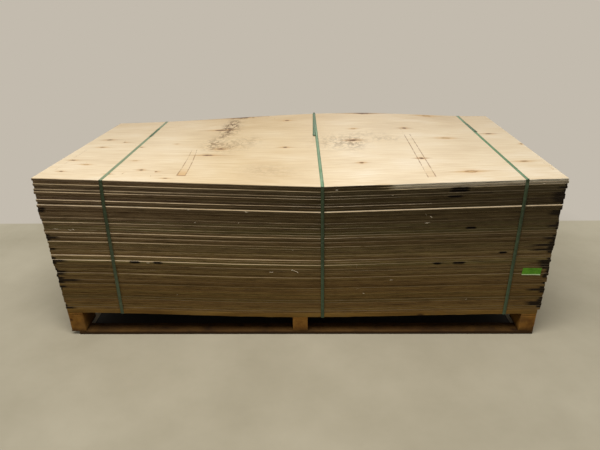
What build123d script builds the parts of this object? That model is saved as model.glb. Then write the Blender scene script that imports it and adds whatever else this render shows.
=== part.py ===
from build123d import *
import os
from math import cos, exp, pi
from random import Random

# Stack of plywood sheets, strapped to a nine-block pallet. Millimetres.
# The origin is on the floor under the middle of the stack.
# X runs along the sheets, -Y is the side that is seen, +Z is up.

# The sheets
sheet_length = 2440.0
sheet_width = 1220.0
sheet_thickness = 12.0
sheet_count = 56
sheets_per_pack = 11  # the sheets below the top one are written as packs

# How unevenly the sheets lie on each other
end_stagger = 3.0  # how far an end stands out of, or back from, the drift
edge_stagger = 1.0  # the same for a long edge
loosest_gap = 3.2  # the widest gap between two sheets, as a share of the tightest
layer_seed = 11

# The stack's drift at some shares of its height: to the right, and away from the near side
drift_shares = [0.0, 0.3, 0.6, 0.75, 1.0]
end_drifts = [4.0, 2.0, -2.0, -6.0, -1.0]
edge_drifts = [7.0, 6.0, 2.0, 2.0, 0.0]

# Steps in the near side: how far a sheet stands out from the one above it, left and right
steps = {
    53: (3.0, 0.5),
    50: (3.0, 0.5),
    47: (4.0, 0.5),
    45: (5.5, 6.0),
    38: (3.0, 0.0),
    36: (1.0, 2.0),
    34: (3.0, 1.5),
    30: (3.5, 0.5),
    24: (5.0, 1.0),
    22: (5.0, 0.5),
    19: (0.5, 2.5),
    16: (2.0, 1.5),
}
step_run = 4.0  # the sheets over which the near side comes back in below a step

# How far the top sheet stands above a level, tight stack
near_sag_lift = 30.0  # at the middle strap, which pulls the near edge down
near_left_lift = 83.0
near_right_lift = 64.0
far_left_lift = 16.0
far_right_lift = 42.0
far_crown = 41.0  # the far edge's hump, above the line between its corners
far_crown_x = 280.0

# How far the pallet's front corners are bent up, above its middle
deck_rise_left = 31.0
deck_rise_right = 19.0

# The longest flat bay of a bent board, between two fold lines
widest_bay = 305.0

# How far the sheets lap over the pallet
end_overlap = 8.0
side_overlap = 4.0

# The pallet's timber
block_width = 78.0
block_depth = 135.0
block_height = 75.0
bottom_board_width = 75.0
bottom_board_thickness = 20.0
front_board_break = 22.0  # the front bottom board is broken off short at its left
splinter_length = 26.0  # the longest tooth of that broken end
cross_board_thickness = 12.0
deck_board_width = 100.0
deck_board_thickness = 25.0
deck_board_count = 7

# The plastic straps
strap_width = 16.0
strap_thickness = 0.9
strap_left_inset = 314.0  # from the left end of the sheets
strap_middle_offset = 109.0  # from the middle of the sheets
strap_right_inset = 188.0  # from the right end of the sheets
weld_length = 140.0  # where a strap's two ends lie on each other
weld_inset = 190.0  # from the far edge to the middle of that lap
weld_depth = 0.45  # how far the lap is melted into the band below it

# Clearances
joint_gap = 0.2  # between boards, blocks and the lowest sheet
strap_gap = 0.5  # between a strap and what it holds
station_margin = 2.0  # from a strap's edge to the fold line beside it

# Worked out
half_length = sheet_length / 2
half_width = sheet_width / 2
pallet_end = half_length - end_overlap
pallet_side = half_width - side_overlap
pallet_length = 2 * pallet_end
pallet_width = 2 * pallet_side
inner_end = pallet_end - block_width
block_x = pallet_end - block_width / 2
block_y = pallet_side - block_depth / 2
block_z = bottom_board_thickness + joint_gap
cross_board_z = block_z + block_height + joint_gap
deck_z = cross_board_z + cross_board_thickness + joint_gap
stack_z = deck_z + deck_board_thickness + joint_gap
top_index = sheet_count - 1
strap_xs = {
    "left": -half_length + strap_left_inset,
    "middle": strap_middle_offset,
    "right": half_length - strap_right_inset,
}


def even_places(count, width, span):
    """The middles of boards that are spread evenly over a span, flush with its two sides."""
    pitch = (span - width) / (count - 1)
    return [(width - span) / 2 + pitch * k for k in range(count)]


# The fold lines, where the bent boards and sheets change slope along X
def fold_lines(end):
    lines = [-end, -inner_end, -block_width / 2, block_width / 2, inner_end, end]
    for x in strap_xs.values():
        reach = strap_width / 2 + station_margin
        lines += [x - reach, x + reach]
    lines.sort()
    filled = [lines[0]]
    for line in lines[1:]:
        start = filled[-1]
        bays = max(1, round((line - start) / widest_bay))
        filled += [start + (line - start) * (k + 1) / bays for k in range(bays)]
    return filled


def depth_share(y):
    """0 at the near edge and 1 at the far edge."""
    return (y + half_width) / sheet_width


def deck_rise(x, y):
    """How far the deck is bent up: level over each block, and straight from front to back."""
    corner = deck_rise_left if x < 0 else deck_rise_right
    middle_block_side = block_width / 2
    u = (abs(x) - middle_block_side) / (inner_end - middle_block_side)
    u = min(1, max(0, u))
    return corner * (1 - depth_share(y)) * u * u * (3 - 2 * u)


def top_lift(x, y):
    """How far the top sheet stands up: a V along the near edge, a hump along the far edge."""
    sag_x = strap_xs["middle"]
    if x < sag_x:
        near = near_sag_lift + (near_left_lift - near_sag_lift) * (sag_x - x) / (sag_x + half_length)
    else:
        near = near_sag_lift + (near_right_lift - near_sag_lift) * (x - sag_x) / (half_length - sag_x)
    side = half_length if x > far_crown_x else -half_length
    u = min(1, (x - far_crown_x) / (side - far_crown_x))
    straight = far_left_lift + (far_right_lift - far_left_lift) * (x + half_length) / sheet_length
    far = straight + far_crown * cos(pi / 2 * u) ** 2
    return near + (far - near) * depth_share(y)


def drift(k, values):
    """The stack's drift at sheet k, straight between the shares of its height."""
    share = k / top_index
    upper = next(n for n in range(1, len(drift_shares)) if share <= drift_shares[n])
    start, end = drift_shares[upper - 1], drift_shares[upper]
    along = (share - start) / (end - start)
    return values[upper - 1] + (values[upper] - values[upper - 1]) * along


def stand_out(k, side):
    """How far the steps above sheet k push it out, at its left (0) or right (1) end."""
    return sum(step[side] * exp((k - n) / step_run) for n, step in steps.items() if n >= k)


def centred(values):
    """The same values, moved so that the lowest and the highest are as far from 0."""
    middle = (max(values) + min(values)) / 2
    return [value - middle for value in values]


# How each layer lies: its shifts, its turn, and its share of the stack's looseness
draw = Random(layer_seed)
layers = range(sheet_count)
end_shifts = centred([drift(k, end_drifts) + draw.uniform(-end_stagger, end_stagger) for k in layers])
staggers = [draw.uniform(-edge_stagger, edge_stagger) for k in layers]
outs = [(stand_out(k, 0) + stand_out(k, 1)) / 2 for k in layers]
edge_shifts = centred([drift(k, edge_drifts) + staggers[k] - outs[k] for k in layers])
turns = [(stand_out(k, 0) - stand_out(k, 1)) / sheet_length for k in layers]
reaches = [abs(edge_shifts[k]) + abs(turns[k]) * half_length for k in layers]
gap_weights = [1 + (loosest_gap - 1) * draw.random() ** 3 for _ in range(sheet_count - 1)]
looseness = [sum(gap_weights[:k]) / sum(gap_weights) for k in range(sheet_count)]


def deck_height(x, y, above):
    """The height above the floor of a level that lies over, or under, the deck's underside."""
    return deck_z + deck_rise(x, y) + above


def sheet_height(k, x, y, above):
    """The same over the underside of sheet k, counted from 0 at the bottom."""
    bend = deck_rise(x, y) * (1 - looseness[k]) + top_lift(x, y) * looseness[k]
    return stack_z + sheet_thickness * k + bend + above


def edge_points(xs, y, turn, level):
    """The points of a board's edge, turned about the stack's middle and set to a level."""
    places = [(x - turn * y, y + turn * x) for x in xs]
    return [Vector(x, y, level(x, y)) for x, y in places]


def bent_board(xs, y_near, y_far, underside, upperside, turn=0.0):
    """A board of flat facets, folded at each x, from underside(x, y) up to upperside(x, y)."""
    near_low = edge_points(xs, y_near, turn, underside)
    far_low = edge_points(xs, y_far, turn, underside)
    near_high = edge_points(xs, y_near, turn, upperside)
    far_high = edge_points(xs, y_far, turn, upperside)
    outlines = [[near_low[k], far_low[k], far_high[k], near_high[k]] for k in (0, -1)]
    for k in range(len(xs) - 1):
        for low, high in ((near_low, near_high), (far_low, far_high)):
            outlines.append([low[k], low[k + 1], high[k + 1], high[k]])
        for near, far in ((near_low, far_low), (near_high, far_high)):
            a, b, c, d = near[k], near[k + 1], far[k + 1], far[k]
            # The ends curl up at the near side, so the ridge of two facets leans inwards
            outlines += [[a, b, c], [a, c, d]] if b.X <= 0 else [[a, b, d], [b, c, d]]
    facets = [Face(Wire.make_polygon(corners)) for corners in outlines]
    return Solid(Shell(facets))


os.makedirs("parts", exist_ok=True)
sheet_folds = fold_lines(half_length)
deck_folds = fold_lines(pallet_end)

# Three bottom boards along X, under the three rows of blocks
bottom_board_y = pallet_side - bottom_board_width / 2
with BuildPart() as bottom_board_front:
    with BuildSketch(Plane.XY):
        broken_x = -pallet_end + front_board_break
        side_y = bottom_board_width / 2
        Polygon(
            (pallet_end, -bottom_board_y - side_y),
            (pallet_end, -bottom_board_y + side_y),
            (broken_x + splinter_length * 0.7, -bottom_board_y + side_y),
            (broken_x, -bottom_board_y + side_y * 0.55),
            (broken_x + splinter_length * 0.8, -bottom_board_y + side_y * 0.2),
            (broken_x + splinter_length * 0.25, -bottom_board_y - side_y * 0.3),
            (broken_x + splinter_length, -bottom_board_y - side_y * 0.5),
            (broken_x + splinter_length * 0.6, -bottom_board_y - side_y),
            align=None,
        )
    extrude(amount=bottom_board_thickness)
bottom_board_front.part.label = "bottom_board_front"
export_step(bottom_board_front.part, "parts/bottom_board_front.step")

for place, y in (("middle", 0), ("rear", bottom_board_y)):
    with BuildPart() as bottom_board:
        with BuildSketch(Plane.XY):
            with Locations((0, y)):
                Rectangle(pallet_length, bottom_board_width)
        extrude(amount=bottom_board_thickness)
    bottom_board.part.label = f"bottom_board_{place}"
    export_step(bottom_board.part, f"parts/bottom_board_{place}.step")

# Nine blocks, and a cross board over each column of three
rows = {"front": -block_y, "middle": 0.0, "rear": block_y}
columns = {"left": -block_x, "middle": 0.0, "right": block_x}
for column, x in columns.items():
    for row, y in rows.items():
        y_near = y - block_depth / 2
        y_far = y + block_depth / 2
        block_top = block_z + block_height
        with BuildPart() as block:
            with BuildSketch(Plane.YZ.offset(x - block_width / 2)):
                Polygon(
                    (y_near, block_z),
                    (y_far, block_z),
                    (y_far, block_top + deck_rise(x, y_far)),
                    (y_near, block_top + deck_rise(x, y_near)),
                    align=None,
                )
            extrude(amount=block_width)
        block.part.label = f"block_{row}_{column}"
        export_step(block.part, f"parts/block_{row}_{column}.step")
    near_z = cross_board_z + deck_rise(x, -pallet_side)
    far_z = cross_board_z + deck_rise(x, pallet_side)
    with BuildPart() as cross_board:
        with BuildSketch(Plane.YZ.offset(x - block_width / 2)):
            Polygon(
                (-pallet_side, near_z),
                (pallet_side, far_z),
                (pallet_side, far_z + cross_board_thickness),
                (-pallet_side, near_z + cross_board_thickness),
                align=None,
            )
        extrude(amount=block_width)
    cross_board.part.label = f"cross_board_{column}"
    export_step(cross_board.part, f"parts/cross_board_{column}.step")

# The deck boards along X, bent down onto the middle blocks
for number, y in enumerate(even_places(deck_board_count, deck_board_width, pallet_width), start=1):
    with BuildPart() as deck_board:
        add(
            bent_board(
                deck_folds,
                y - deck_board_width / 2,
                y + deck_board_width / 2,
                lambda x, y: deck_height(x, y, 0),
                lambda x, y: deck_height(x, y, deck_board_thickness),
            )
        )
    deck_board.part.label = f"deck_board_{number}"
    export_step(deck_board.part, f"parts/deck_board_{number}.step")


def plywood_sheet(k):
    """Sheet k, pushed and turned a little out of line with the others."""
    return bent_board(
        [sheet_folds[0] + end_shifts[k], *sheet_folds[1:-1], sheet_folds[-1] + end_shifts[k]],
        -half_width + edge_shifts[k],
        half_width + edge_shifts[k],
        lambda x, y: sheet_height(k, x, y, 0),
        lambda x, y: sheet_height(k, x, y, sheet_thickness),
        turns[k],
    )


# The sheets, in packs of solids that don't touch, with the top sheet by itself
for number, first in enumerate(range(0, top_index, sheets_per_pack), start=1):
    last = min(first + sheets_per_pack, top_index)
    with BuildPart() as sheet_pack:
        add([plywood_sheet(k) for k in range(first, last)], clean=False)
    sheet_pack.part.label = f"sheet_pack_{number}"
    export_step(sheet_pack.part, f"parts/sheet_pack_{number}.step")
with BuildPart() as top_sheet:
    add(plywood_sheet(top_index), clean=False)
top_sheet.part.label = "top_sheet"
export_step(top_sheet.part, "parts/top_sheet.step")


def strapped_bulk(side_xs, outward):
    """What a strap is wrapped round: a slice through the deck and the sheets, made larger."""
    reach = half_width + max(reaches) + outward
    return bent_board(
        side_xs,
        -reach,
        reach,
        lambda x, y: deck_height(x, y, -outward),
        lambda x, y: sheet_height(top_index, x, y, sheet_thickness + outward),
    )


def welded_lap(side_xs):
    """The strap's upper end, melted into the band below it."""
    middle_y = half_width - weld_inset
    band_top = sheet_thickness + strap_gap + strap_thickness
    return bent_board(
        side_xs,
        middle_y - weld_length / 2,
        middle_y + weld_length / 2,
        lambda x, y: sheet_height(top_index, x, y, band_top - weld_depth),
        lambda x, y: sheet_height(top_index, x, y, band_top + strap_thickness),
    )


# The straps, each a closed band round the sheets and the deck, with a welded lap on top
for place, middle_x in strap_xs.items():
    side_xs = [middle_x - strap_width / 2, middle_x + strap_width / 2]
    with BuildPart() as strap:
        add(strapped_bulk(side_xs, strap_gap + strap_thickness))
        add(strapped_bulk(side_xs, strap_gap), mode=Mode.SUBTRACT)
        add(welded_lap(side_xs))
    strap.part.label = f"strap_{place}"
    export_step(strap.part, f"parts/strap_{place}.step")
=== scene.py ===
# %% [markdown]
# # A stack of plywood sheets on its pallet
# The object is simple to name and hard to copy: fifty-six thin boards that all look alike and all
# lie a little differently. This lesson takes the exact solids of the stack as its frame, and gives
# each of them the surface that the real one has: plies, torn fibres, knots, saw marks and dirt.

# %% Load the frame and note its box
import math
import random

import bmesh
import bpy
import numpy as np
from mathutils import Matrix, Vector
from mathutils.geometry import convex_hull_2d


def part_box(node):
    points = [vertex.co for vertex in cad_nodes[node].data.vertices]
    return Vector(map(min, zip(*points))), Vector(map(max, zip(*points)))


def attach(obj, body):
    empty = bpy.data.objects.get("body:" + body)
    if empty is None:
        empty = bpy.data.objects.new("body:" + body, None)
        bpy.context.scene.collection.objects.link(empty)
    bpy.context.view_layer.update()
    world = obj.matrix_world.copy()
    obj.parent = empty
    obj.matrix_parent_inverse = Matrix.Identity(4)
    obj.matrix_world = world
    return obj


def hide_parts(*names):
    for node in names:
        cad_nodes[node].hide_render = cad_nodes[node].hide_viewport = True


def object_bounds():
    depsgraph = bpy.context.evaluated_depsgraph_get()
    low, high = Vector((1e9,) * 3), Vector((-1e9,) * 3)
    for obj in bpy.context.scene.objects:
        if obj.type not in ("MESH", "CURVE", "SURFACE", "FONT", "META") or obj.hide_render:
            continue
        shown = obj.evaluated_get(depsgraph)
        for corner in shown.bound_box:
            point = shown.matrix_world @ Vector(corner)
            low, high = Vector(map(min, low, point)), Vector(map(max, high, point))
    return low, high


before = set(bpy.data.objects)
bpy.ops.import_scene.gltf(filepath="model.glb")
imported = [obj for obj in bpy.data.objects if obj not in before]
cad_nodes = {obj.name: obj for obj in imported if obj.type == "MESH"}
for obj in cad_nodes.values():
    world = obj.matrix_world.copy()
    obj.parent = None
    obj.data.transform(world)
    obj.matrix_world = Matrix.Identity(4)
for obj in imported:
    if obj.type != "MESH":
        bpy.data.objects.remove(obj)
cad_box = [list(corner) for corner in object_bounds()]
print("CAD box in metres:", [[round(value, 4) for value in corner] for corner in cad_box])

# %% [markdown]
# ## Small tools
# Colours are written as the sRGB hex values that a colour picker shows, and one function turns
# them into the linear values that a shader works with. Another one adds a node of any kind to any
# tree, with its settings and its links. The rest are short names for the nodes that come back most
# often, so that each tree below reads from top to bottom like a sum.

# %% Colour and node helpers
METRE = 1000.0  # millimetres


def colour(hex_value):
    """An sRGB hex colour as linear RGBA."""
    channels = [int(hex_value[k : k + 2], 16) / 255 for k in (1, 3, 5)]
    linear = [c / 12.92 if c <= 0.04045 else ((c + 0.055) / 1.055) ** 2.4 for c in channels]
    return (*linear, 1.0)


def add(tree, kind, inputs=None, **settings):
    """Adds a node: settings are its properties, inputs its values or the outputs it reads."""
    made = tree.nodes.new(kind)
    for name, value in settings.items():
        setattr(made, name, value)
    for socket, value in (inputs or {}).items():
        if isinstance(value, bpy.types.Node):
            value = value.outputs[0]
        if isinstance(value, bpy.types.NodeSocket):
            tree.links.new(value, made.inputs[socket])
        else:
            is_hex = isinstance(value, str) and value.startswith("#")
            made.inputs[socket].default_value = colour(value) if is_hex else value
    return made


def ramp(tree, factor, *stops, interpolation="LINEAR"):
    """A colour ramp over a factor, with stops of a place and a hex colour."""
    made = add(tree, "ShaderNodeValToRGB", {"Fac": factor})
    made.color_ramp.interpolation = interpolation
    elements = made.color_ramp.elements
    while len(elements) < len(stops):
        elements.new(1.0)
    for element, (place, hex_value) in zip(elements, stops):
        element.position = place
        element.color = colour(hex_value)
    return made


# %% Short names for common nodes
def calc(tree, operation, *numbers, **settings):
    return add(tree, "ShaderNodeMath", dict(enumerate(numbers)), operation=operation, **settings)


def vector_calc(tree, operation, *vectors):
    return add(tree, "ShaderNodeVectorMath", dict(enumerate(vectors)), operation=operation)


def length(tree, vector):
    return vector_calc(tree, "LENGTH", vector).outputs["Value"]


def span(tree, value, start=0.0, end=1.0, low=0.0, high=1.0):
    """Goes from low to high while the value goes from start to end."""
    return add(
        tree,
        "ShaderNodeMapRange",
        {"Value": value, "From Min": start, "From Max": end, "To Min": low, "To Max": high},
    )


def mixed(tree, factor, first, second, blend="MIX"):
    """The first colour where the factor is 0, and the second where it is 1."""
    inputs = {"Factor": factor, 6: first, 7: second}
    return add(tree, "ShaderNodeMix", inputs, data_type="RGBA", blend_type=blend).outputs[2]


def tinted(tree, factor, first, second):
    """The first colour, multiplied by as much of the second."""
    return mixed(tree, factor, first, second, "MULTIPLY")


def stretched(tree, place, along, across, level):
    """Coordinates for a pattern whose features have these sizes in millimetres along X, Y and Z."""
    scale = tuple(METRE / size for size in (along, across, level))
    return add(tree, "ShaderNodeMapping", {"Vector": place, "Scale": scale})


def noise(tree, place, scale, detail=2.0, roughness=0.5):
    """A noise, with a scale or with the sizes of its features in millimetres along X, Y and Z."""
    if isinstance(scale, tuple):
        place, scale = stretched(tree, place, *scale), 1.0
    inputs = {"Vector": place, "Scale": scale, "Detail": detail, "Roughness": roughness}
    return add(tree, "ShaderNodeTexNoise", inputs)


def noise_with_seed(tree, place, fourth, scale, detail=2.0):
    """A noise that is different for each value of a fourth number."""
    inputs = {"Vector": place, "W": fourth, "Scale": scale, "Detail": detail}
    return add(tree, "ShaderNodeTexNoise", inputs, noise_dimensions="4D")


def split(tree, vector):
    """The X, Y and Z of a vector."""
    return add(tree, "ShaderNodeSeparateXYZ", {0: vector}).outputs


def joined(tree, *numbers):
    return add(tree, "ShaderNodeCombineXYZ", dict(enumerate(numbers)))


def attribute(tree, name, output="Fac"):
    """What the mesh says at the shaded point."""
    return add(tree, "ShaderNodeAttribute", attribute_name=name).outputs[output]


def object_place(tree):
    """The shaded point in metres, from the object's origin."""
    return add(tree, "ShaderNodeTexCoord").outputs["Object"]


def new_material(name, roughness, ior=1.5, gloss=0.5):
    """An empty physical material, and its tree and shader. Open fibres leave little gloss."""
    made = bpy.data.materials.new(name)
    made.use_nodes = True
    bsdf = made.node_tree.nodes["Principled BSDF"]
    bsdf.inputs["Roughness"].default_value = roughness
    bsdf.inputs["IOR"].default_value = ior
    bsdf.inputs["Specular IOR Level"].default_value = gloss
    return made, made.node_tree, bsdf


def emboss(tree, shader, strength, depth, height):
    """Fine relief, of a depth in metres where the height is 1."""
    inputs = {"Strength": strength, "Distance": depth, "Height": height}
    tree.links.new(add(tree, "ShaderNodeBump", inputs).outputs[0], shader.inputs["Normal"])


def put_in_scene(name, data):
    """A new object of the scene, at the origin."""
    made = bpy.data.objects.new(name, data)
    bpy.context.scene.collection.objects.link(made)
    return made


# %% [markdown]
# ## Camera
# The photograph was taken from a little above head height, close to the stack, with a wide lens.
# The camera's place and its three angles come from the corners of the top sheet, the pallet and
# the straps, which are all known in metres.

# %% Camera
camera_data = bpy.data.cameras.new("camera")
camera_data.sensor_width = 36.0
camera_data.lens = 31.026
camera = put_in_scene("camera", camera_data)
bpy.context.scene.camera = camera
yaw, pitch, roll = (math.radians(angle) for angle in (-1.36, -25.84, -0.90))
ahead = Vector((math.sin(yaw) * math.cos(pitch), math.cos(yaw) * math.cos(pitch), math.sin(pitch)))
level_right = Vector((math.cos(yaw), -math.sin(yaw), 0.0))
level_up = level_right.cross(ahead)
right = math.cos(roll) * level_right + math.sin(roll) * level_up
up = math.cos(roll) * level_up - math.sin(roll) * level_right
camera.matrix_world = Matrix.LocRotScale(
    Vector((0.059, -2.810, 1.708)),
    Matrix((right, up, -ahead)).transposed(),
    None,
)
print("camera looks along", [round(value, 3) for value in ahead])

# %% [markdown]
# ## Floor and light
# The light comes from high above the stack, so the top sheet is bright and the sides
# live on what the pale floor throws back. A large softbox overhead, a weak one behind the stack
# and a faint world do the same. Behind the stack, the floor turns into a plain pale backdrop.

# %% Floor
floor_reach = 20.0
backdrop_line = 0.76
floor_mesh = bpy.data.meshes.new("floor")
floor_corners = [(-1, -1), (1, -1), (1, 1), (-1, 1)]
floor_mesh.from_pydata([(x * floor_reach, y * floor_reach, 0) for x, y in floor_corners], [], [(0, 1, 2, 3)])
floor = put_in_scene("floor", floor_mesh)
floor_paint, tree, shader = new_material("trowelled concrete floor", roughness=0.75)
place = object_place(tree)
parts = split(tree, place)
cloud = noise(tree, place, 1.3, 5.0, 0.6)
tone = ramp(tree, cloud, (0.3, "#aaa18a"), (0.7, "#beb59e"))
# Under the pallet the floor is painted dark: painted shade where little light reaches under the deck
dark_x, dark_y = 1.13, 0.60
under = vector_calc(tree, "ABSOLUTE", place)
under_parts = split(tree, under)
under_x = calc(tree, "LESS_THAN", under_parts["X"], dark_x)
under_y = calc(tree, "LESS_THAN", under_parts["Y"], dark_y)
painted_shade_under = calc(tree, "MULTIPLY", under_x, under_y)
tone = mixed(tree, painted_shade_under, tone, "#1d1a16")
behind = span(tree, parts["Y"], backdrop_line, backdrop_line + 0.012)
floor_colour = mixed(tree, behind, tone, "#c3bbae")
tree.links.new(floor_colour, shader.inputs["Base Color"])
# Away from the stack, the camera sees an even light
distance = length(tree, place)
far_share = span(tree, distance, 1.25, 2.3)
camera_ray = add(tree, "ShaderNodeLightPath").outputs["Is Camera Ray"]
shown_share = calc(tree, "MULTIPLY", far_share, camera_ray)
room_light = add(tree, "ShaderNodeEmission", {"Color": floor_colour, "Strength": 1.0})
floor_mix = add(tree, "ShaderNodeMixShader", {0: shown_share, 1: shader, 2: room_light})
tree.links.new(floor_mix.outputs[0], tree.nodes["Material Output"].inputs["Surface"])
floor_mesh.materials.append(floor_paint)
print("floor", 2 * floor_reach, "m square")

# %% Lamps and world
def softbox(name, place, aim, width, depth, watts, tint):
    """A large area lamp that looks at a point."""
    data = bpy.data.lights.new(name, "AREA")
    data.shape = "RECTANGLE"
    data.size = width
    data.size_y = depth
    data.energy = watts
    data.color = colour(tint)[:3]
    lamp = put_in_scene(name, data)
    lamp.location = place
    lamp.visible_camera = False
    lamp.rotation_euler = (Vector(aim) - Vector(place)).to_track_quat("-Z", "Y").to_euler()


softbox("hall lamps", (-0.35, -1.75, 4.6), (-0.1, -0.4, 0.8), 3.6, 1.8, 204, "#fffdf9")
softbox("far lamps", (0.5, 4.4, 2.6), (0.0, 0.6, 0.4), 3.0, 1.2, 25, "#fffdf9")
world = bpy.data.worlds.new("hall")
bpy.context.scene.world = world
world.use_nodes = True
tree = world.node_tree
fill = tree.nodes["Background"]
fill.inputs["Color"].default_value = colour("#f2f0ec")
fill.inputs["Strength"].default_value = 0.16
backdrop = add(tree, "ShaderNodeBackground", {"Color": colour("#c3bbae"), "Strength": 1.0})
rays = add(tree, "ShaderNodeLightPath")
seen = rays.outputs["Is Camera Ray"]
for other in ("Is Glossy Ray", "Is Transmission Ray"):
    seen = calc(tree, "MAXIMUM", seen, rays.outputs[other])
mix = add(tree, "ShaderNodeMixShader", {0: seen, 1: fill, 2: backdrop})
tree.links.new(mix.outputs[0], tree.nodes["World Output"].inputs["Surface"])
bpy.context.scene.view_settings.view_transform = "Standard"

# %% [markdown]
# ## Face veneer
# The outer plies are peeled from a turning log of pine, so the grain runs along the sheet and the
# same knot comes back every half metre across it. The veneer is bare, sanded and pale: a rough
# dielectric surface. Its knots, joints and mould stains are placed by three attributes that the
# top sheet carries, because a pattern that repeats by itself can't put a knot where it belongs.

# %% Material: rotary-cut pine veneer
face_veneer, tree, shader = new_material("rotary cut pine veneer", roughness=0.62, gloss=0.35)
place = object_place(tree)
# Broad clouds of sapwood and heartwood, about 350 mm long
clouds = noise(tree, place, (350, 190, 400), 3.0)
base = ramp(tree, clouds, (0.33, "#e4d2b4"), (0.5, "#ebdabc"), (0.68, "#f0e2c9"))
# The middle of the sheet has lain open longer, and is a shade darker
middle_x = split(tree, place)["X"]
middle_off = calc(tree, "ADD", middle_x, 0.25)
middle_far = calc(tree, "ABSOLUTE", middle_off)
middle_share = span(tree, middle_far, 0.55, 0.15)
base = tinted(tree, middle_share, base, "#f0eadd")
# Fine grain, drawn 5 mm wide so that it still shows from three metres away
grain = noise(tree, place, (260, 5, 5), 4.0, 0.65)
grain_tone = ramp(tree, grain, (0.3, "#e4d6c0"), (0.62, "#ffffff"))
# The far part of the sheet is painted a little darker: painted shade where the light from the lamps falls off
painted_falloff_y = split(tree, place)["Y"]
far_share = span(tree, painted_falloff_y, 0.1, 0.6)
base = tinted(tree, far_share, base, "#f6f2ee")
grained = tinted(tree, 0.75, base, grain_tone)
# Knots: the attribute holds the place within a knot, in radii. Its third number is 0 outside,
# and 1 plus a small step for the kind inside, so that half-way values between vertices draw nothing
KIND_STEP = 0.004
INSIDE = 0.9999
knot = attribute(tree, "knot", "Vector")
knot_parts = split(tree, knot)
knot_flat = joined(tree, knot_parts["X"], knot_parts["Y"])
wobble = noise(tree, place, 70.0, 3.0)
knot_reach = length(tree, knot_flat)
knot_radius = calc(tree, "MULTIPLY_ADD", wobble, 0.9, knot_reach)
knot_heart = span(tree, knot_radius, 1.65, 1.05)
knot_halo = span(tree, knot_radius, 3.4, 0.8, high=0.55)
# The fibres that flow round a knot leave a tail on each side, along the grain
tail_place = add(tree, "ShaderNodeMapping", {"Vector": knot_flat, "Scale": (0.33, 1.9, 1.0)})
tail_reach = length(tree, tail_place)
tail_soft = span(tree, tail_reach, 1.7, 0.3, high=0.95)
# A pale knot is a ring, with clean wood in its middle
kind_over = calc(tree, "SUBTRACT", knot_parts["Z"], 1.0)
kind = calc(tree, "DIVIDE", kind_over, KIND_STEP)
ring_kind = calc(tree, "LESS_THAN", kind, 0.15)
ring_middle = span(tree, knot_radius, 1.25, 0.8, high=0.9)
ring_clean = calc(tree, "MULTIPLY", ring_kind, ring_middle)
ring_share = calc(tree, "SUBTRACT", 1.0, ring_clean)
knot_heart = calc(tree, "MULTIPLY", knot_heart, ring_share)
knot_present = calc(tree, "GREATER_THAN", knot_parts["Z"], INSIDE)
knot_halo, tail_soft, knot_heart = (
    calc(tree, "MULTIPLY", share, knot_present) for share in (knot_halo, tail_soft, knot_heart)
)
heart_tone = ramp(tree, kind, (0.0, "#a07748"), (0.5, "#684828"), (1.0, "#573420"))
tail_tone = ramp(tree, kind, (0.0, "#c9a673"), (1.0, "#94693e"))
halo = mixed(tree, knot_halo, grained, "#d3ab77")
tailed = mixed(tree, tail_soft, halo, tail_tone)
knotted = mixed(tree, knot_heart, tailed, heart_tone)
# Veneer joints: the place within the strip, from -1 to 1 each way, and its brownness as the kind
strip = attribute(tree, "strip", "Vector")
strip_parts = split(tree, strip)
strip_across = calc(tree, "ABSOLUTE", strip_parts["X"])
strip_along = calc(tree, "ABSOLUTE", strip_parts["Y"])
strip_present = calc(tree, "GREATER_THAN", strip_parts["Z"], INSIDE)
strip_over = calc(tree, "SUBTRACT", strip_parts["Z"], 1.0)
strip_brown = calc(tree, "DIVIDE", strip_over, KIND_STEP)
length_share = span(tree, strip_along, 1.0, 0.97)
inside_along = calc(tree, "MULTIPLY", length_share, strip_present)
line_off = calc(tree, "SUBTRACT", strip_across, 0.93)
line_gap = calc(tree, "ABSOLUTE", line_off)
broken = noise(tree, place, (30, 45, 100), 2.0)
line_width = span(tree, broken, 0.35, 0.6, 0.02, 0.16)
line_here = calc(tree, "LESS_THAN", line_gap, line_width)
line = calc(tree, "MULTIPLY", line_here, inside_along)
line_soft = calc(tree, "MULTIPLY", line, 0.6)
inside_across = calc(tree, "LESS_THAN", strip_across, 0.9)
foot = span(tree, strip_parts["Y"], -0.45, -1.0, 0.03, 0.5)
foot_here = calc(tree, "MULTIPLY", inside_across, inside_along)
foot_kind = calc(tree, "MULTIPLY", foot, strip_brown)
foot_share = calc(tree, "MULTIPLY", foot_here, foot_kind)
footed = mixed(tree, foot_share, knotted, "#c58e36")
# The strip's lower end stops in a dark glue line
end_low = calc(tree, "LESS_THAN", strip_parts["Y"], -0.955)
end_share = end_low
for factor in (foot_here, strip_brown, strip_brown):
    end_share = calc(tree, "MULTIPLY", end_share, factor)
footed = mixed(tree, end_share, footed, "#7d4f2a")
lined = mixed(tree, line_soft, footed, "#7d4f2a")
# Blue-stain and resin veins, where the attribute allows them
stain = attribute(tree, "stain")
vein_bend = noise(tree, place, 17.0, 5.0, 0.65)
vein_place = vector_calc(tree, "MULTIPLY_ADD", vein_bend.outputs["Color"], (0.11, 0.11, 0.0), place)
vein_cells = add(
    tree, "ShaderNodeTexVoronoi", {"Vector": vein_place, "Scale": 21.0}, feature="DISTANCE_TO_EDGE"
)
veins = span(tree, vein_cells.outputs["Distance"], 0.1, 0.03)
vein_share = calc(tree, "MULTIPLY", veins, stain)
blot = noise(tree, place, 26.0, 6.0, 0.72)
blots = span(tree, blot, 0.5, 0.62)
blot_share = calc(tree, "MULTIPLY", blots, stain)
stain_share = calc(tree, "MAXIMUM", vein_share, blot_share)
stained = mixed(tree, stain_share, lined, "#654829")
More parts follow.
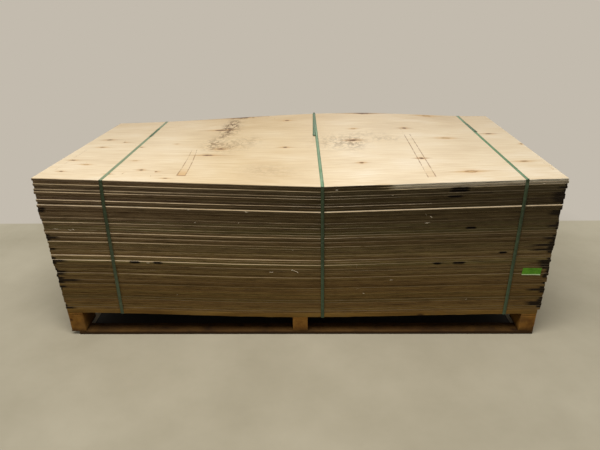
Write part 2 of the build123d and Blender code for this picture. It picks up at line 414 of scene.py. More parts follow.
# Low in the stack, and to its right away from the step at 0.725 m, the strips that stand out are darker, and
# all strips below the top sheet are a little darker
level = split(tree, place)
low_share = span(tree, level["Z"], 0.46, 0.36, high=0.9)
right_share = span(tree, level["X"], -0.3, 0.5, high=0.85)
step_off = calc(tree, "SUBTRACT", level["Z"], 0.725)
step_far = calc(tree, "ABSOLUTE", step_off)
off_step = calc(tree, "GREATER_THAN", step_far, 0.024)
right_ledge_darkening = calc(tree, "MULTIPLY", right_share, off_step)
ledge_darkening = calc(tree, "MAXIMUM", low_share, right_ledge_darkening)
ledge_darkening_with_base = calc(tree, "MAXIMUM", ledge_darkening, 0.3)
sheet = attribute(tree, "sheet")
top_number = 55
in_stack = calc(tree, "LESS_THAN", sheet, top_number - 0.5)
ledge_darkening_share = calc(tree, "MULTIPLY", ledge_darkening_with_base, in_stack)
veneer_with_dark_ledges = mixed(tree, ledge_darkening_share, stained, "#655438")
tree.links.new(veneer_with_dark_ledges, shader.inputs["Base Color"])
# Knife marks and raised grain, a few hundredths of a millimetre deep
relief = calc(tree, "MULTIPLY_ADD", grain, 0.6, clouds)
emboss(tree, shader, 0.25, 0.0006, relief)
print("nodes in", face_veneer.name, len(tree.nodes))

# %% [markdown]
# ## Sawn edges
# A saw opens the plies: on the long sides, the outer and middle plies show long grain, which
# stays light, and the two between them show end grain, which drinks dirt and goes dark. On the
# short ends it is the other way round. Each sheet comes from other logs, so the whole edge shifts
# a little to green, purple or tan, and the ends are black where they stood in wet dirt.

# %% Material: sawn plywood edge
sawn_edge, tree, shader = new_material("sawn pine plywood edge", roughness=0.85, gloss=0.12)
place = object_place(tree)
parts = split(tree, place)
sheet = attribute(tree, "sheet")
ply = attribute(tree, "ply")
facing = add(tree, "ShaderNodeNewGeometry").outputs["True Normal"]
facing_parts = split(tree, facing)
facing_x = calc(tree, "ABSOLUTE", facing_parts["X"])
on_end = calc(tree, "GREATER_THAN", facing_x, 0.6)
# Whole numbers of the ply count give the long and the cross plies in turn
ply_turn = calc(tree, "ADD", ply, on_end)
ply_wave = calc(tree, "MODULO", ply_turn, 2.0)
crossed = calc(tree, "GREATER_THAN", ply_wave, 0.5)
height_share = span(tree, parts["Z"], 0.15, 0.8)
long_tone = ramp(tree, height_share, (0.0, "#9a8152"), (0.22, "#8d774b"), (0.5, "#a6946c"), (1.0, "#8f826e"))
cross_tone = ramp(tree, height_share, (0.0, "#79643d"), (0.22, "#6f5c38"), (0.5, "#7a6c4c"), (1.0, "#635849"))
plies = mixed(tree, crossed, long_tone, cross_tone)
# Each sheet's own hue, from logs of different age
sheet_hue = add(tree, "ShaderNodeTexWhiteNoise", {"W": sheet}, noise_dimensions="1D").outputs["Value"]
hue_tone = ramp(
    tree, sheet_hue, (0.0, "#cfcfc4"), (0.3, "#fffaf0"), (0.55, "#e6ded6"), (0.8, "#fff4de"), (1.0, "#c9c2bd")
)
hued = tinted(tree, height_share, plies, hue_tone)
# Sheets of one delivery lie together, three or four at a time
delivery_place = add(tree, "ShaderNodeCombineXYZ", {0: sheet})
delivery = noise(tree, delivery_place, 0.29, 1.0)
delivery_tone = ramp(
    tree, delivery, (0.32, "#d4dcc2"), (0.45, "#fff7ea"), (0.55, "#e6d9d4"), (0.68, "#d2d3bd")
)
hued = tinted(tree, 0.85, hued, delivery_tone)
# Blotches along the edge, about 150 mm long and different in each sheet
sheet_lift = add(tree, "ShaderNodeCombineXYZ", {2: sheet})
own_place = vector_calc(tree, "ADD", place, sheet_lift)
blotch = noise(tree, own_place, (150, 150, 14), 4.0, 0.6)
blotch_tone = ramp(tree, blotch, (0.3, "#9b9186"), (0.5, "#dcd6ce"), (0.72, "#ffffff"))
blotched = tinted(tree, 0.8, hued, blotch_tone)
# The upper right part of the near side is tinted darker and grey-green
upper_right_x = span(tree, parts["X"], -0.9, 0.1)
upper_right_z = span(tree, parts["Z"], 0.33, 0.75)
upper_right_share = calc(tree, "MULTIPLY", upper_right_x, upper_right_z)
blotched = tinted(tree, upper_right_share, blotched, "#b4b9aa")
# Saw-torn fibres, 25 mm long and under 1 mm high
fibre = noise(tree, own_place, (25, 25, 0.8), 3.0, 0.7)
fibre_tone = ramp(tree, fibre, (0.3, "#8d8378"), (0.6, "#ffffff"))
torn = tinted(tree, 0.6, blotched, fibre_tone)
# Rubbed rims: where a sheet's upper corner is worn round, clean wood shows on its top ply; the same pale
# colour is also a painted highlight for the light that the sheets' upper edges catch
pale = attribute(tree, "pale")
top_ply = calc(tree, "GREATER_THAN", ply, 3.5)
rubbed_and_highlight_share = calc(tree, "MULTIPLY", pale, top_ply)
opened = span(tree, pale, 1.0, 2.0)
long_ply = calc(tree, "SUBTRACT", 1.0, crossed)
opened_share = calc(tree, "MULTIPLY", opened, long_ply)
pale_share = calc(tree, "MAXIMUM", rubbed_and_highlight_share, opened_share, use_clamp=True)
pale_broken = span(tree, blotch, 0.3, 0.5, 0.35, 0.8)
pale_here = calc(tree, "MULTIPLY", pale_share, pale_broken)
pale_highlight_tone = mixed(tree, opened, "#cbb48e", "#f0e3c8")
torn = mixed(tree, pale_here, torn, pale_highlight_tone)
# Black ends: the attribute says how wet each sheet's end has been, and round each hollow it holds painted
# shade
wet = attribute(tree, "wet")
wet_noise = calc(tree, "MULTIPLY_ADD", blotch, 0.5, wet)
wet_and_shade_share = span(tree, wet_noise, 0.35, 0.8, high=0.95)
wet_and_shaded = mixed(tree, wet_and_shade_share, torn, "#1c150d")
# No light comes back out of a hollow
hollow = attribute(tree, "hollow")
inner_low = calc(tree, "GREATER_THAN", ply, 0.5)
inner_high = calc(tree, "LESS_THAN", ply, 3.5)
inner = calc(tree, "MULTIPLY", inner_low, inner_high)
hollow_share = calc(tree, "MULTIPLY", hollow, inner)
hollowed = mixed(tree, hollow_share, wet_and_shaded, "#0f0c0a")
tree.links.new(hollowed, shader.inputs["Base Color"])
emboss(tree, shader, 0.6, 0.0008, fibre)
print("nodes in", sawn_edge.name, len(tree.nodes))

# %% [markdown]
# ## Where each sheet lies
# The solids of the frame say how every sheet is bent: each is a board with fold lines, and the
# points on those lines are all that is needed. They are read from a welded copy of the mesh.

# %% Read the bent boards from the frame
def bent_boards(node_name):
    """The boards of a node, from low to high, as fold points: near and far, low and high."""
    mesh = bmesh.new()
    mesh.from_mesh(cad_nodes[node_name].data)
    bmesh.ops.remove_doubles(mesh, verts=mesh.verts, dist=2e-5)
    boards, seen = [], set()
    for start in mesh.verts:
        if start in seen:
            continue
        island, front = [], [start]
        seen.add(start)
        while front:
            vertex = front.pop()
            island.append(vertex.co.copy())
            for edge in vertex.link_edges:
                other = edge.other_vert(vertex)
                if other not in seen:
                    seen.add(other)
                    front.append(other)
        middle = sum(point.y for point in island) / len(island)
        board = {}
        for side, points in (
            ("near", [p for p in island if p.y < middle]),
            ("far", [p for p in island if p.y >= middle]),
        ):
            points.sort(key=lambda p: p.x)
            pairs = [sorted(points[k : k + 2], key=lambda p: p.z) for k in range(0, len(points), 2)]
            board[side] = np.array([low for low, high in pairs])
        board["thickness"] = pairs[0][1].z - pairs[0][0].z
        boards.append(board)
    mesh.free()
    return sorted(boards, key=lambda board: board["near"][:, 2].mean())


pack_names = sorted(name for name in cad_nodes if name.startswith("sheet_pack"))
packs = {name: bent_boards(name) for name in pack_names}
packs["top_sheet"] = bent_boards("top_sheet")
sheet_length, sheet_width = 2.44, 1.22
sheets = [board for name in packs for board in packs[name]]
for number, board in enumerate(sheets):
    board["number"] = number
print(
    len(sheets), "sheets,", len(sheets[0]["near"]), "fold lines each,", round(sheets[0]["thickness"], 4),
    "m thick",
)

# %% [markdown]
# ## Marks on the sheets
# Some marks are seen in the photograph and have their place: black ends, dark hollows where a
# core ply is short, knots in the top veneer. Others only have to be as many and as large as the
# real ones, and come from a random generator with a fixed seed.

# %% Marks
# Black sheet ends: the height at the end, and how far the stain runs in, in metres
wet_right = [
    (0.845, 0.018), (0.825, 0.030), (0.800, 0.045), (0.787, 0.048), (0.775, 0.046), (0.762, 0.040),
    (0.712, 0.040), (0.700, 0.045), (0.690, 0.030), (0.632, 0.040), (0.562, 0.045), (0.532, 0.075),
    (0.503, 0.080), (0.440, 0.050), (0.430, 0.045), (0.420, 0.040), (0.399, 0.030), (0.278, 0.065),
    (0.200, 0.060), (0.180, 0.055),
]
wet_left = [
    (0.741, 0.026), (0.730, 0.020), (0.582, 0.050), (0.516, 0.025), (0.460, 0.055), (0.395, 0.045),
    (0.374, 0.035), (0.338, 0.090), (0.295, 0.030), (0.170, 0.040),
]
# Hollows in the near edge: x, height and half length
hollows = [
    (0.740, 0.822, 0.042), (0.735, 0.805, 0.038), (0.722, 0.788, 0.030), (0.812, 0.617, 0.020),
    (0.983, 0.488, 0.017), (0.675, 0.430, 0.016), (0.779, 0.435, 0.026), (-0.810, 0.445, 0.024),
    (-0.697, 0.442, 0.020),
]
# Rubbed rims of the near side, painted pale also as a highlight: the height at the left end, the first and
# last x, and how pale
pale_rims = [
    (0.877, -1.3, 0.3, 0.9), (0.852, -1.3, 0.5, 0.8), (0.832, -1.3, -0.2, 0.7),
    (0.812, -1.3, -0.5, 1.0), (0.781, -1.3, -0.1, 1.0), (0.768, -1.3, -0.4, 0.7),
    (0.735, -1.3, -1.0, 0.9), (0.712, -1.2, -0.6, 0.4), (0.686, -1.3, -0.5, 0.6),
    (0.662, -1.3, -0.6, 0.9), (0.646, -1.2, -0.3, 0.8), (0.632, -1.1, -0.2, 0.7),
    (0.614, -1.3, 0.1, 0.8), (0.596, -1.3, -0.6, 0.8), (0.577, -1.3, 0.0, 0.7),
    (0.556, -1.3, -0.2, 0.8), (0.520, -1.3, -0.2, 0.5), (0.484, -1.3, 0.3, 0.9),
    (0.460, -1.3, 0.4, 0.9), (0.430, -0.6, 0.4, 0.5), (0.381, -0.9, 0.3, 0.5), (0.340, -1.3, -0.7, 0.5),
]
marks_seed = 5
draw = random.Random(marks_seed)


def edge_value(edge, x, axis):
    """The y (axis 1) or the z (axis 2) of an edge's underside at x."""
    return float(np.interp(x, edge[:, 0], edge[:, axis]))


def level_at(board, side, x):
    """The height of the middle of a board's edge at x."""
    return edge_value(board[side], x, 2) + board["thickness"] / 2


def nearest_sheet(side, x, height):
    """The sheet whose edge lies at this height."""
    return min(sheets, key=lambda board: abs(level_at(board, side, x) - height))


for board in sheets:
    board["wet"] = {}
    board["hollows"] = []
    board["pale"] = []
# The sheets next to a wet one are wet too, but not as far in
wet_neighbours = ((-0.012, 0.4), (0.012, 0.45), (0.0, 1.5))
shortest_wet = 0.012
for end_x, marks in ((1.21, wet_right), (-1.21, wet_left)):
    for height, reach in marks:
        for off, share in wet_neighbours:
            board = nearest_sheet("near", end_x, height + off)
            if reach * share < shortest_wet:
                continue
            known = board["wet"].get(("near", end_x > 0), 0.0)
            board["wet"]["near", end_x > 0] = max(known, reach * share)
# More wet ends at random: each side's share of sheets, and the longest
for board in sheets:
    for side, odds, longest in (("near", 0.12, 0.03), ("far", 0.35, 0.07)):
        for is_right in (True, False):
            reach = board["wet"].get((side, is_right))
            if reach is None and draw.random() < odds:
                board["wet"][side, is_right] = draw.uniform(0.01, longest)
# The two upper sheets are dry at their near right corner
for board in sheets[-2:]:
    board["wet"].pop(("near", True), None)
for x, height, half in hollows:
    nearest_sheet("near", x, height)["hollows"].append(("near", x, half))
hidden_sides = ("far", "left", "right")
hollow_odds, pale_rim_odds = 0.16, 0.4
for board in sheets:
    for side in hidden_sides:
        if draw.random() < hollow_odds:
            reach = 1.1 if side == "far" else 0.52
            board["hollows"].append((side, draw.uniform(-reach, reach), draw.uniform(0.004, 0.03)))
for height, first_x, last_x, strength in pale_rims:
    nearest_sheet("near", -1.2, height)["pale"].append(("near", first_x, last_x, strength))
# The three upper sheets are rubbed towards the right of their near edges, and painted pale there also as a
# highlight
for board, strength in zip(sheets[-3:], (1.0, 1.7, 2.0)):
    board["pale"].append(("near", 0.35, 1.9, strength))
# The sheet that stands out furthest from the next one is rubbed along its whole near edge, and painted pale
# there also as a highlight for the light it catches
near_ys = [board["near"][:, 1].mean() for board in sheets[:-1]]
stand_out = [above - below for below, above in zip(near_ys, near_ys[1:])]
proudest = stand_out.index(max(stand_out))
sheets[proudest]["pale"].append(("near", -1.3, 1.9, 0.85))
sheets[proudest + 1]["pale"].append(("near", -0.7, 1.0, 0.6))
print("sheet", proudest, "stands out by", round(max(stand_out), 4), "m")
# More rubbed rims on the hidden sides, at random, painted pale also as a highlight
for board in sheets:
    for side in hidden_sides:
        if draw.random() < pale_rim_odds:
            reach = 0.9 if side == "far" else 0.5
            middle = draw.uniform(-reach, reach)
            first_place, last_place = middle - draw.uniform(0.2, 1.4), middle + draw.uniform(0.2, 1.4)
            board["pale"].append((side, first_place, last_place, draw.uniform(0.3, 0.9)))
print("hollows:", sum(len(board["hollows"]) for board in sheets))
print("pale rims:", sum(len(board["pale"]) for board in sheets))

# %% [markdown]
# ## The sheets' plies
# A sheet is five plies of 2.4 mm. The rule is the same for all: take the sheet's outline, raise it
# ply by ply, and push each ply's rim in by its own ragged amount. That is work for Geometry
# Nodes, whose Repeat Zone raises one ply at a time. The guide that it starts from is a flat-faced
# underside of long cells, with the marks above as attributes.

# %% The guide mesh of a sheet's underside
long_cell = 0.014
end_cells = 30
FAR_AWAY = 9.0  # radii, for a vertex that is in no knot or veneer joint


def edge_line(board, side, stations):
    """Points along a board's near or far edge, at shares of its fold lines."""
    edge = board[side]
    counts = np.arange(len(edge))
    return np.array([np.interp(stations, counts, edge[:, axis]) for axis in range(3)]).T


def stations_of(board, cell):
    """Places along the board, a cell apart, as shares of its fold lines."""
    xs = board["near"][:, 0]
    count = round((xs[-1] - xs[0]) / cell)
    return np.interp(np.linspace(xs[0], xs[-1], count + 1), xs, np.arange(len(xs)))


def far_smoothed(line):
    """The far edge's hump without its fold lines."""
    width = 15
    padded = np.pad(line[:, 2], width // 2, mode="reflect", reflect_type="odd")
    line[:, 2] = np.convolve(padded, np.ones(width) / width, mode="valid")
    return line


def mark_values(board, point, side):
    """How wet, how hollow and how pale the rim is at a point of one side; round a hollow the wet value is
    painted shade.
    """
    wet = 0.0
    is_right = point[0] > 0
    for edge_name in ("near", "far"):
        reach = board["wet"].get((edge_name, is_right))
        if reach is None:
            continue
        along = sheet_length / 2 - abs(point[0])
        across = point[1] - board[edge_name][0, 1]
        if edge_name == "far":
            across = -across
        spread = max(0.0, along) / reach + max(0.0, across) / (reach * 3)
        wet = max(wet, 1.15 - spread)
    where = point[0] if side in ("near", "far") else point[1]
    hollow = 0.0
    for hollow_side, middle, half in board["hollows"]:
        if hollow_side == side:
            reach = abs(where - middle) / half
            hollow = max(hollow, 1.0 if reach < 1 else 0.0)
            # Round a hollow the rim is darkened too: painted shade, carried in the wet value
            wet = max(wet, 1.2 - 0.9 * reach)
    pale = 0.0
    for pale_side, first_place, last_place, strength in board["pale"]:
        if pale_side == side:
            fade_in = min(1.0, max(0.0, (where - first_place) / 0.1))
            fade_out = min(1.0, max(0.0, (last_place - where) / 0.45))
            pale = max(pale, strength * (fade_in * fade_out))
    return max(0.0, wet), hollow, pale


def sheet_guide(board, vertices, faces, rims):
    """Adds a sheet's underside in long cells, and a row for each point of its rim.

    A row is the outward x and y, the sheet's number, and how wet, hollow and pale it is there.
    """
    stations = stations_of(board, long_cell)
    near = edge_line(board, "near", stations)
    far = far_smoothed(edge_line(board, "far", stations))
    first = len(vertices)
    count = len(stations)
    shares = np.linspace(0, 1, end_cells + 1)[1:-1, None]
    left = near[0] + (far[0] - near[0]) * shares
    right = near[-1] + (far[-1] - near[-1]) * shares
    for points, side, out in (
        (near, "near", (0, -1)),
        (far, "far", (0, 1)),
        (left, "left", (-1, 0)),
        (right, "right", (1, 0)),
    ):
        for k, point in enumerate(points):
            corner = side in ("near", "far") and k in (0, count - 1)
            out_x = (-1 if k == 0 else 1) if corner else out[0]
            vertices.append(point)
            rims.append((out_x, out[1], board["number"], *mark_values(board, point, side)))
    near_at = list(range(first, first + count))
    far_at = list(range(first + count, first + 2 * count))
    left_at = list(range(first + 2 * count, first + 2 * count + len(left)))
    right_at = [k + len(left) for k in left_at]
    faces.append([near_at[0], near_at[1], far_at[1], far_at[0], *reversed(left_at)])
    for k in range(1, count - 2):
        faces.append([near_at[k], near_at[k + 1], far_at[k + 1], far_at[k]])
    faces.append([near_at[-2], near_at[-1], *right_at, far_at[-1], far_at[-2]])


def set_attribute(mesh, name, kind, values):
    """Writes one value for each vertex."""
    made = mesh.attributes.get(name) or mesh.attributes.new(name, kind, "POINT")
    field = "vector" if kind == "FLOAT_VECTOR" else "value"
    made.data.foreach_set(field, np.array(values, dtype=np.float32).ravel())


def guide_mesh(name, vertices, faces, rims):
    """The underside as a mesh, with the rows as attributes."""
    mesh = bpy.data.meshes.new(name)
    mesh.from_pydata([tuple(vertex) for vertex in vertices], [], faces)
    rows = np.array(rims, dtype=float)
    set_attribute(mesh, "out", "FLOAT_VECTOR", np.column_stack([rows[:, :2], np.zeros(len(rows))]))
    for column, name in enumerate(("sheet", "wet", "hollow", "pale"), start=2):
        set_attribute(mesh, name, "FLOAT", rows[:, column])
    for name in ("knot", "strip"):
        set_attribute(mesh, name, "FLOAT_VECTOR", [(FAR_AWAY, FAR_AWAY, 0.0)] * len(rows))
    return mesh


# %% Helpers for Geometry Nodes trees
def new_tree(name, **inputs):
    """An empty tree, and its inputs: numbers with their first value, or the name of another kind."""
    tree = bpy.data.node_groups.new(name, "GeometryNodeTree")
    face = tree.interface
    face.new_socket("Geometry", in_out="OUTPUT", socket_type="NodeSocketGeometry")
    for label, value in inputs.items():
        is_number = not isinstance(value, str)
        kind = value if not is_number else "Int" if isinstance(value, int) else "Float"
        socket = face.new_socket(label.replace("_", " "), in_out="INPUT", socket_type="NodeSocket" + kind)
        if is_number:
            socket.default_value = value
    return tree, add(tree, "NodeGroupInput").outputs


def store(tree, geometry, name, value, kind="FLOAT", domain="POINT", selection=True):
    inputs = {"Geometry": geometry, "Name": name, "Value": value, "Selection": selection}
    return add(tree, "GeometryNodeStoreNamedAttribute", inputs, data_type=kind, domain=domain)


def named(tree, name, kind="FLOAT"):
    return add(tree, "GeometryNodeInputNamedAttribute", {"Name": name}, data_type=kind).outputs["Attribute"]


def with_material(tree, geometry, material, selection=True):
    inputs = {"Geometry": geometry, "Selection": selection, "Material": material}
    return add(tree, "GeometryNodeSetMaterial", inputs)


def finish_tree(tree, geometry, material, selection=True):
    """Ends a tree: its material is set, its instances are made real and it is given out."""
    dressed = with_material(tree, geometry, material, selection)
    real = add(tree, "GeometryNodeRealizeInstances", {"Geometry": dressed})
    tree.links.new(real.outputs[0], add(tree, "NodeGroupOutput").inputs[0])
    return tree


# %% The tree that raises the plies
def raise_plies():
    """A tree that turns a sheet's underside into plies with ragged rims."""
    tree, given = new_tree(
        "Raise plies", Underside="Geometry", Plies=5, Thickness=0.012, Wander=0.0010, Raggedness=0.0007,
        Chip_depth=0.0035, Hollow_depth=0.009, Rub_depth=0.0013, Seed=3.0,
        Face_material="Material", Edge_material="Material",
    )
    ply_height = calc(tree, "DIVIDE", given["Thickness"], given["Plies"])
    step_height = calc(tree, "MULTIPLY", ply_height, 0.04)
    wall_height = calc(tree, "SUBTRACT", ply_height, step_height)

    start = store(tree, given["Underside"], "ply", 0.0)
    start = store(tree, start, "crest", 0.0)
    start = store(tree, start, "lid", True, "BOOLEAN", "FACE")
    start = store(tree, start, "wall", False, "BOOLEAN", "FACE")
    enter = add(tree, "GeometryNodeRepeatInput")
    leave = add(tree, "GeometryNodeRepeatOutput")
    enter.pair_with_output(leave)
    leave.repeat_items.new("FLOAT", "Count")
    tree.links.new(given["Plies"], enter.inputs["Iterations"])
    tree.links.new(start.outputs[0], enter.inputs["Geometry"])
    body, count = enter.outputs["Geometry"], enter.outputs["Count"]
    next_count = calc(tree, "ADD", count, 1.0)
    for height, ply_count, crest in ((wall_height, count, 1.0), (step_height, next_count, 0.0)):
        lid = named(tree, "lid", "BOOLEAN")
        raised = add(
            tree,
            "GeometryNodeExtrudeMesh",
            {
                "Mesh": body,
                "Selection": lid,
                "Offset": (0.0, 0.0, 1.0),
                "Offset Scale": height,
                "Individual": False,
            },
            mode="FACES",
        )
        top, side = raised.outputs["Top"], raised.outputs["Side"]
        body = store(tree, raised.outputs["Mesh"], "lid", top, "BOOLEAN", "FACE")
        body = store(tree, body, "wall", True, "BOOLEAN", "FACE", side)
        body = store(tree, body, "ply", ply_count, selection=top)
        body = store(tree, body, "crest", crest, selection=top)
    tree.links.new(body.outputs[0], leave.inputs["Geometry"])
    tree.links.new(next_count.outputs[0], leave.inputs["Count"])
    underside = add(tree, "GeometryNodeFlipFaces", {"Mesh": start})
    whole = add(tree, "GeometryNodeJoinGeometry")
    for piece in (leave.outputs["Geometry"], underside.outputs[0]):
        tree.links.new(piece, whole.inputs[0])
    closed = add(tree, "GeometryNodeMergeByDistance", {"Geometry": whole, "Distance": 0.00001})

    position = add(tree, "GeometryNodeInputPosition")
    flat_place = vector_calc(tree, "MULTIPLY", position, (1.0, 1.0, 0.0))
    sheet, ply = named(tree, "sheet"), named(tree, "ply")
    sheet_w = calc(tree, "MULTIPLY_ADD", sheet, 3.7, given["Seed"])
    ply_w = calc(tree, "MULTIPLY_ADD", ply, 11.3, sheet_w)
    wander = span(tree, noise_with_seed(tree, flat_place, sheet_w, 1.1), 0.3, 0.7, high=given["Wander"])
    ragged = span(
        tree, noise_with_seed(tree, flat_place, ply_w, 22.0, 3.0), 0.25, 0.75, high=given["Raggedness"]
    )
    chipped = span(tree, noise_with_seed(tree, flat_place, ply_w, 14.0), 0.66, 0.78, high=given["Chip depth"])
    # Only the inner plies are hollow
    outer_count = calc(tree, "SUBTRACT", given["Plies"], 1.0)
    above_first = calc(tree, "GREATER_THAN", ply, 0.5)
    below_last = calc(tree, "LESS_THAN", ply, outer_count)
    inner = calc(tree, "MULTIPLY", above_first, below_last)
    hollow = calc(tree, "MULTIPLY", named(tree, "hollow"), given["Hollow depth"])
    hollow_here = calc(tree, "MULTIPLY", hollow, inner)
    # Only the crest of the last ply, and the rim above it, are rubbed away
    last_ply = calc(tree, "SUBTRACT", given["Plies"], 1.5)
    on_last = calc(tree, "GREATER_THAN", ply, last_ply)
    over_last = calc(tree, "SUBTRACT", given["Plies"], 0.5)
    on_rim = calc(tree, "GREATER_THAN", ply, over_last)
    high = calc(tree, "MAXIMUM", named(tree, "crest"), on_rim)
    rub_here = calc(tree, "MULTIPLY", high, on_last)
    pale = calc(tree, "MINIMUM", named(tree, "pale"), 1.0)
    rub_share = calc(tree, "MULTIPLY", rub_here, pale)
    rubbed = calc(tree, "MULTIPLY", rub_share, given["Rub depth"])
    inward = wander
    for more in (ragged, chipped, hollow_here, rubbed):
        inward = calc(tree, "ADD", inward, more)
    backward = calc(tree, "MULTIPLY", inward, -1.0)
    offset = add(
        tree, "ShaderNodeVectorMath", {0: named(tree, "out", "FLOAT_VECTOR"), 3: backward}, operation="SCALE"
    )
    shaped = add(tree, "GeometryNodeSetPosition", {"Geometry": closed, "Offset": offset})
    faced = with_material(tree, shaped, given["Face material"])
    return finish_tree(tree, faced, given["Edge material"], named(tree, "wall", "BOOLEAN"))


plies_tree = raise_plies()
print("nodes in", plies_tree.name, len(plies_tree.nodes))

# %% Make the packs
def run_tree(name, mesh, tree, **values):
    """Runs a tree on a mesh and returns the result as a plain object at the origin."""
    guide = put_in_scene(name + "_guide", mesh)
    modifier = guide.modifiers.new("tree", "NODES")
    modifier.node_group = tree
    sockets = {s.name: s.identifier for s in tree.interface.items_tree if s.in_out == "INPUT"}
    for label, value in values.items():
        modifier[sockets[label.replace("_", " ")]] = value
    graph = bpy.context.evaluated_depsgraph_get()
    result = bpy.data.meshes.new_from_object(guide.evaluated_get(graph))
    bpy.data.objects.remove(guide)
    return put_in_scene(name, result)


def finish_piece(piece, slot, *replaced):
    """The piece rides on the body and stands for its nodes. Its slot is not used."""
    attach(piece, "root")
    if replaced:
        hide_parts(*replaced)
    print(piece.name, sum(len(polygon.vertices) - 2 for polygon in piece.data.polygons), "triangles")


for pack_name in pack_names:
    vertices, faces, rims = [], [], []
    for board in packs[pack_name]:
        sheet_guide(board, vertices, faces, rims)
    mesh = guide_mesh(pack_name + "_underside", vertices, faces, rims)
    pack = run_tree(
        "plywood_" + pack_name,
        mesh,
        plies_tree,
        Thickness=packs[pack_name][0]["thickness"],
        Face_material=face_veneer,
        Edge_material=sawn_edge,
    )
    finish_piece(pack, "plywood", pack_name)

# %% [markdown]
# ## The top sheet
# Only the top sheet shows its face, so its guide has square cells instead of long ones, and each
# vertex knows where it lies within the nearest knot and within the nearest veneer joint. Such
# local coordinates stay exact between vertices, so the shader can draw a sharp ring or line.

# %% Knots, joints and stains of the top veneer
# Knots as x, y, half length, half width in metres, and kind from 0, pale, to 1, reddish
knots = [
    (-1.124, 0.131, 0.019, 0.011, 0.9), (-1.025, 0.069, 0.017, 0.009, 0.7),
    (-1.103, -0.040, 0.016, 0.009, 0.2), (-1.156, -0.304, 0.013, 0.008, 0.6),
    (-1.060, -0.379, 0.014, 0.008, 0.1), (-1.135, -0.496, 0.010, 0.007, 0.5),
    (-0.884, -0.040, 0.008, 0.007, 0.7), (-0.764, -0.448, 0.010, 0.010, 0.5),
    (-0.900, -0.520, 0.009, 0.007, 0.7), (-0.484, -0.197, 0.030, 0.010, 0.8),
    (-0.492, 0.304, 0.036, 0.012, 0.6), (-0.436, -0.088, 0.018, 0.014, 0.4),
    (-0.081, -0.064, 0.014, 0.010, 0.5), (-0.092, 0.472, 0.014, 0.012, 0.3),
    (-0.140, 0.616, 0.012, 0.008, 0.5), (0.316, -0.320, 0.012, 0.010, 0.3),
    (0.316, 0.256, 0.013, 0.011, 0.1), (0.625, 0.272, 0.013, 0.014, 0.9),
    (0.625, -0.275, 0.012, 0.012, 0.9), (0.820, 0.580, 0.028, 0.018, 0.1),
    (0.828, 0.072, 0.026, 0.014, 0.12), (0.820, -0.480, 0.030, 0.016, 0.1),
    (1.100, 0.165, 0.018, 0.010, 0.7), (1.116, -0.352, 0.020, 0.009, 0.2),
    (1.210, -0.055, 0.006, 0.010, 0.4), (-0.700, 0.020, 0.008, 0.006, 0.1),
    (0.300, 0.040, 0.022, 0.016, 0.5), (0.400, 0.600, 0.046, 0.016, 0.9),
    (-0.405, 0.600, 0.050, 0.014, 0.9), (-0.690, -0.470, 0.012, 0.007, 0.4),
    (-0.800, -0.500, 0.018, 0.006, 0.2), (-0.840, -0.300, 0.012, 0.006, 0.1),
    (-0.620, -0.560, 0.012, 0.005, 0.5),
]
# Joints as x, half width low and high, lowest and highest y, how far the top leans to the left,
# and how brown the foot is
joints = [
    (-0.556, 0.0215, 0.0145, -0.520, -0.096, 0.020, 1.0),
    (0.624, 0.020, 0.018, -0.544, 0.150, 0.004, 0.3),
    (0.603, 0.003, 0.003, 0.155, 0.270, 0.004, 0.0),
    (-1.170, 0.003, 0.003, -0.480, -0.088, 0.0, 0.0),
    (1.200, 0.004, 0.004, -0.488, -0.380, 0.0, 0.6),
]
# Stains as x, y, half length, half width and strength
stains = [
    (-0.436, 0.360, 0.050, 0.190, 1.5), (-0.462, 0.190, 0.026, 0.110, 0.8),
    (-0.410, -0.010, 0.130, 0.120, 0.5), (-0.490, 0.010, 0.040, 0.130, 0.95),
    (-0.300, 0.050, 0.070, 0.090, 0.35), (0.230, 0.020, 0.140, 0.120, 0.5),
    (0.300, 0.010, 0.060, 0.130, 0.65), (0.480, 0.060, 0.120, 0.050, 0.3),
    (-0.387, 0.598, 0.080, 0.022, 1.6), (0.400, 0.600, 0.065, 0.020, 1.6),
    (-0.160, -0.420, 0.160, 0.080, 0.16), (0.380, 0.150, 0.150, 0.060, 0.2),
]
knot_reach = 4.5


def knot_value(x, y):
    """The place within the knot here, in radii, and its kind."""
    for knot_x, knot_y, length, width, kind in knots:
        across = ((x - knot_x) / length, (y - knot_y) / width)
        if abs(x - knot_x) < length * knot_reach + 0.02 and abs(y - knot_y) < width * knot_reach + 0.02:
            return (*across, 1.0 + kind * KIND_STEP)
    return (FAR_AWAY, FAR_AWAY, 0.0)


def joint_value(x, y):
    """The place within the joint here, from -1 to 1 each way, and its kind."""
    for middle_x, half_low, half_high, low, high, lean, brown in joints:
        if abs(x - middle_x) < half_low + lean + 0.021 and low - 0.013 < y < high + 0.013:
            share = min(1.0, max(0.0, (y - low) / (high - low)))
            half = half_low + (half_high - half_low) * share
            across = (x - middle_x + lean * share**2) / half
            along = (y - (low + high) / 2) / ((high - low) / 2)
            return (across, along, 1.0 + brown * KIND_STEP)
    return (FAR_AWAY, FAR_AWAY, 0.0)


def stain_value(x, y):
    """How strong the mould stain is here."""
    strongest = 0.0
    for middle_x, middle_y, length, width, strength in stains:
        reach = ((x - middle_x) / length) ** 2 + ((y - middle_y) / width) ** 2
        strongest = max(strongest, strength * math.exp(-reach * 1.2))
    return strongest


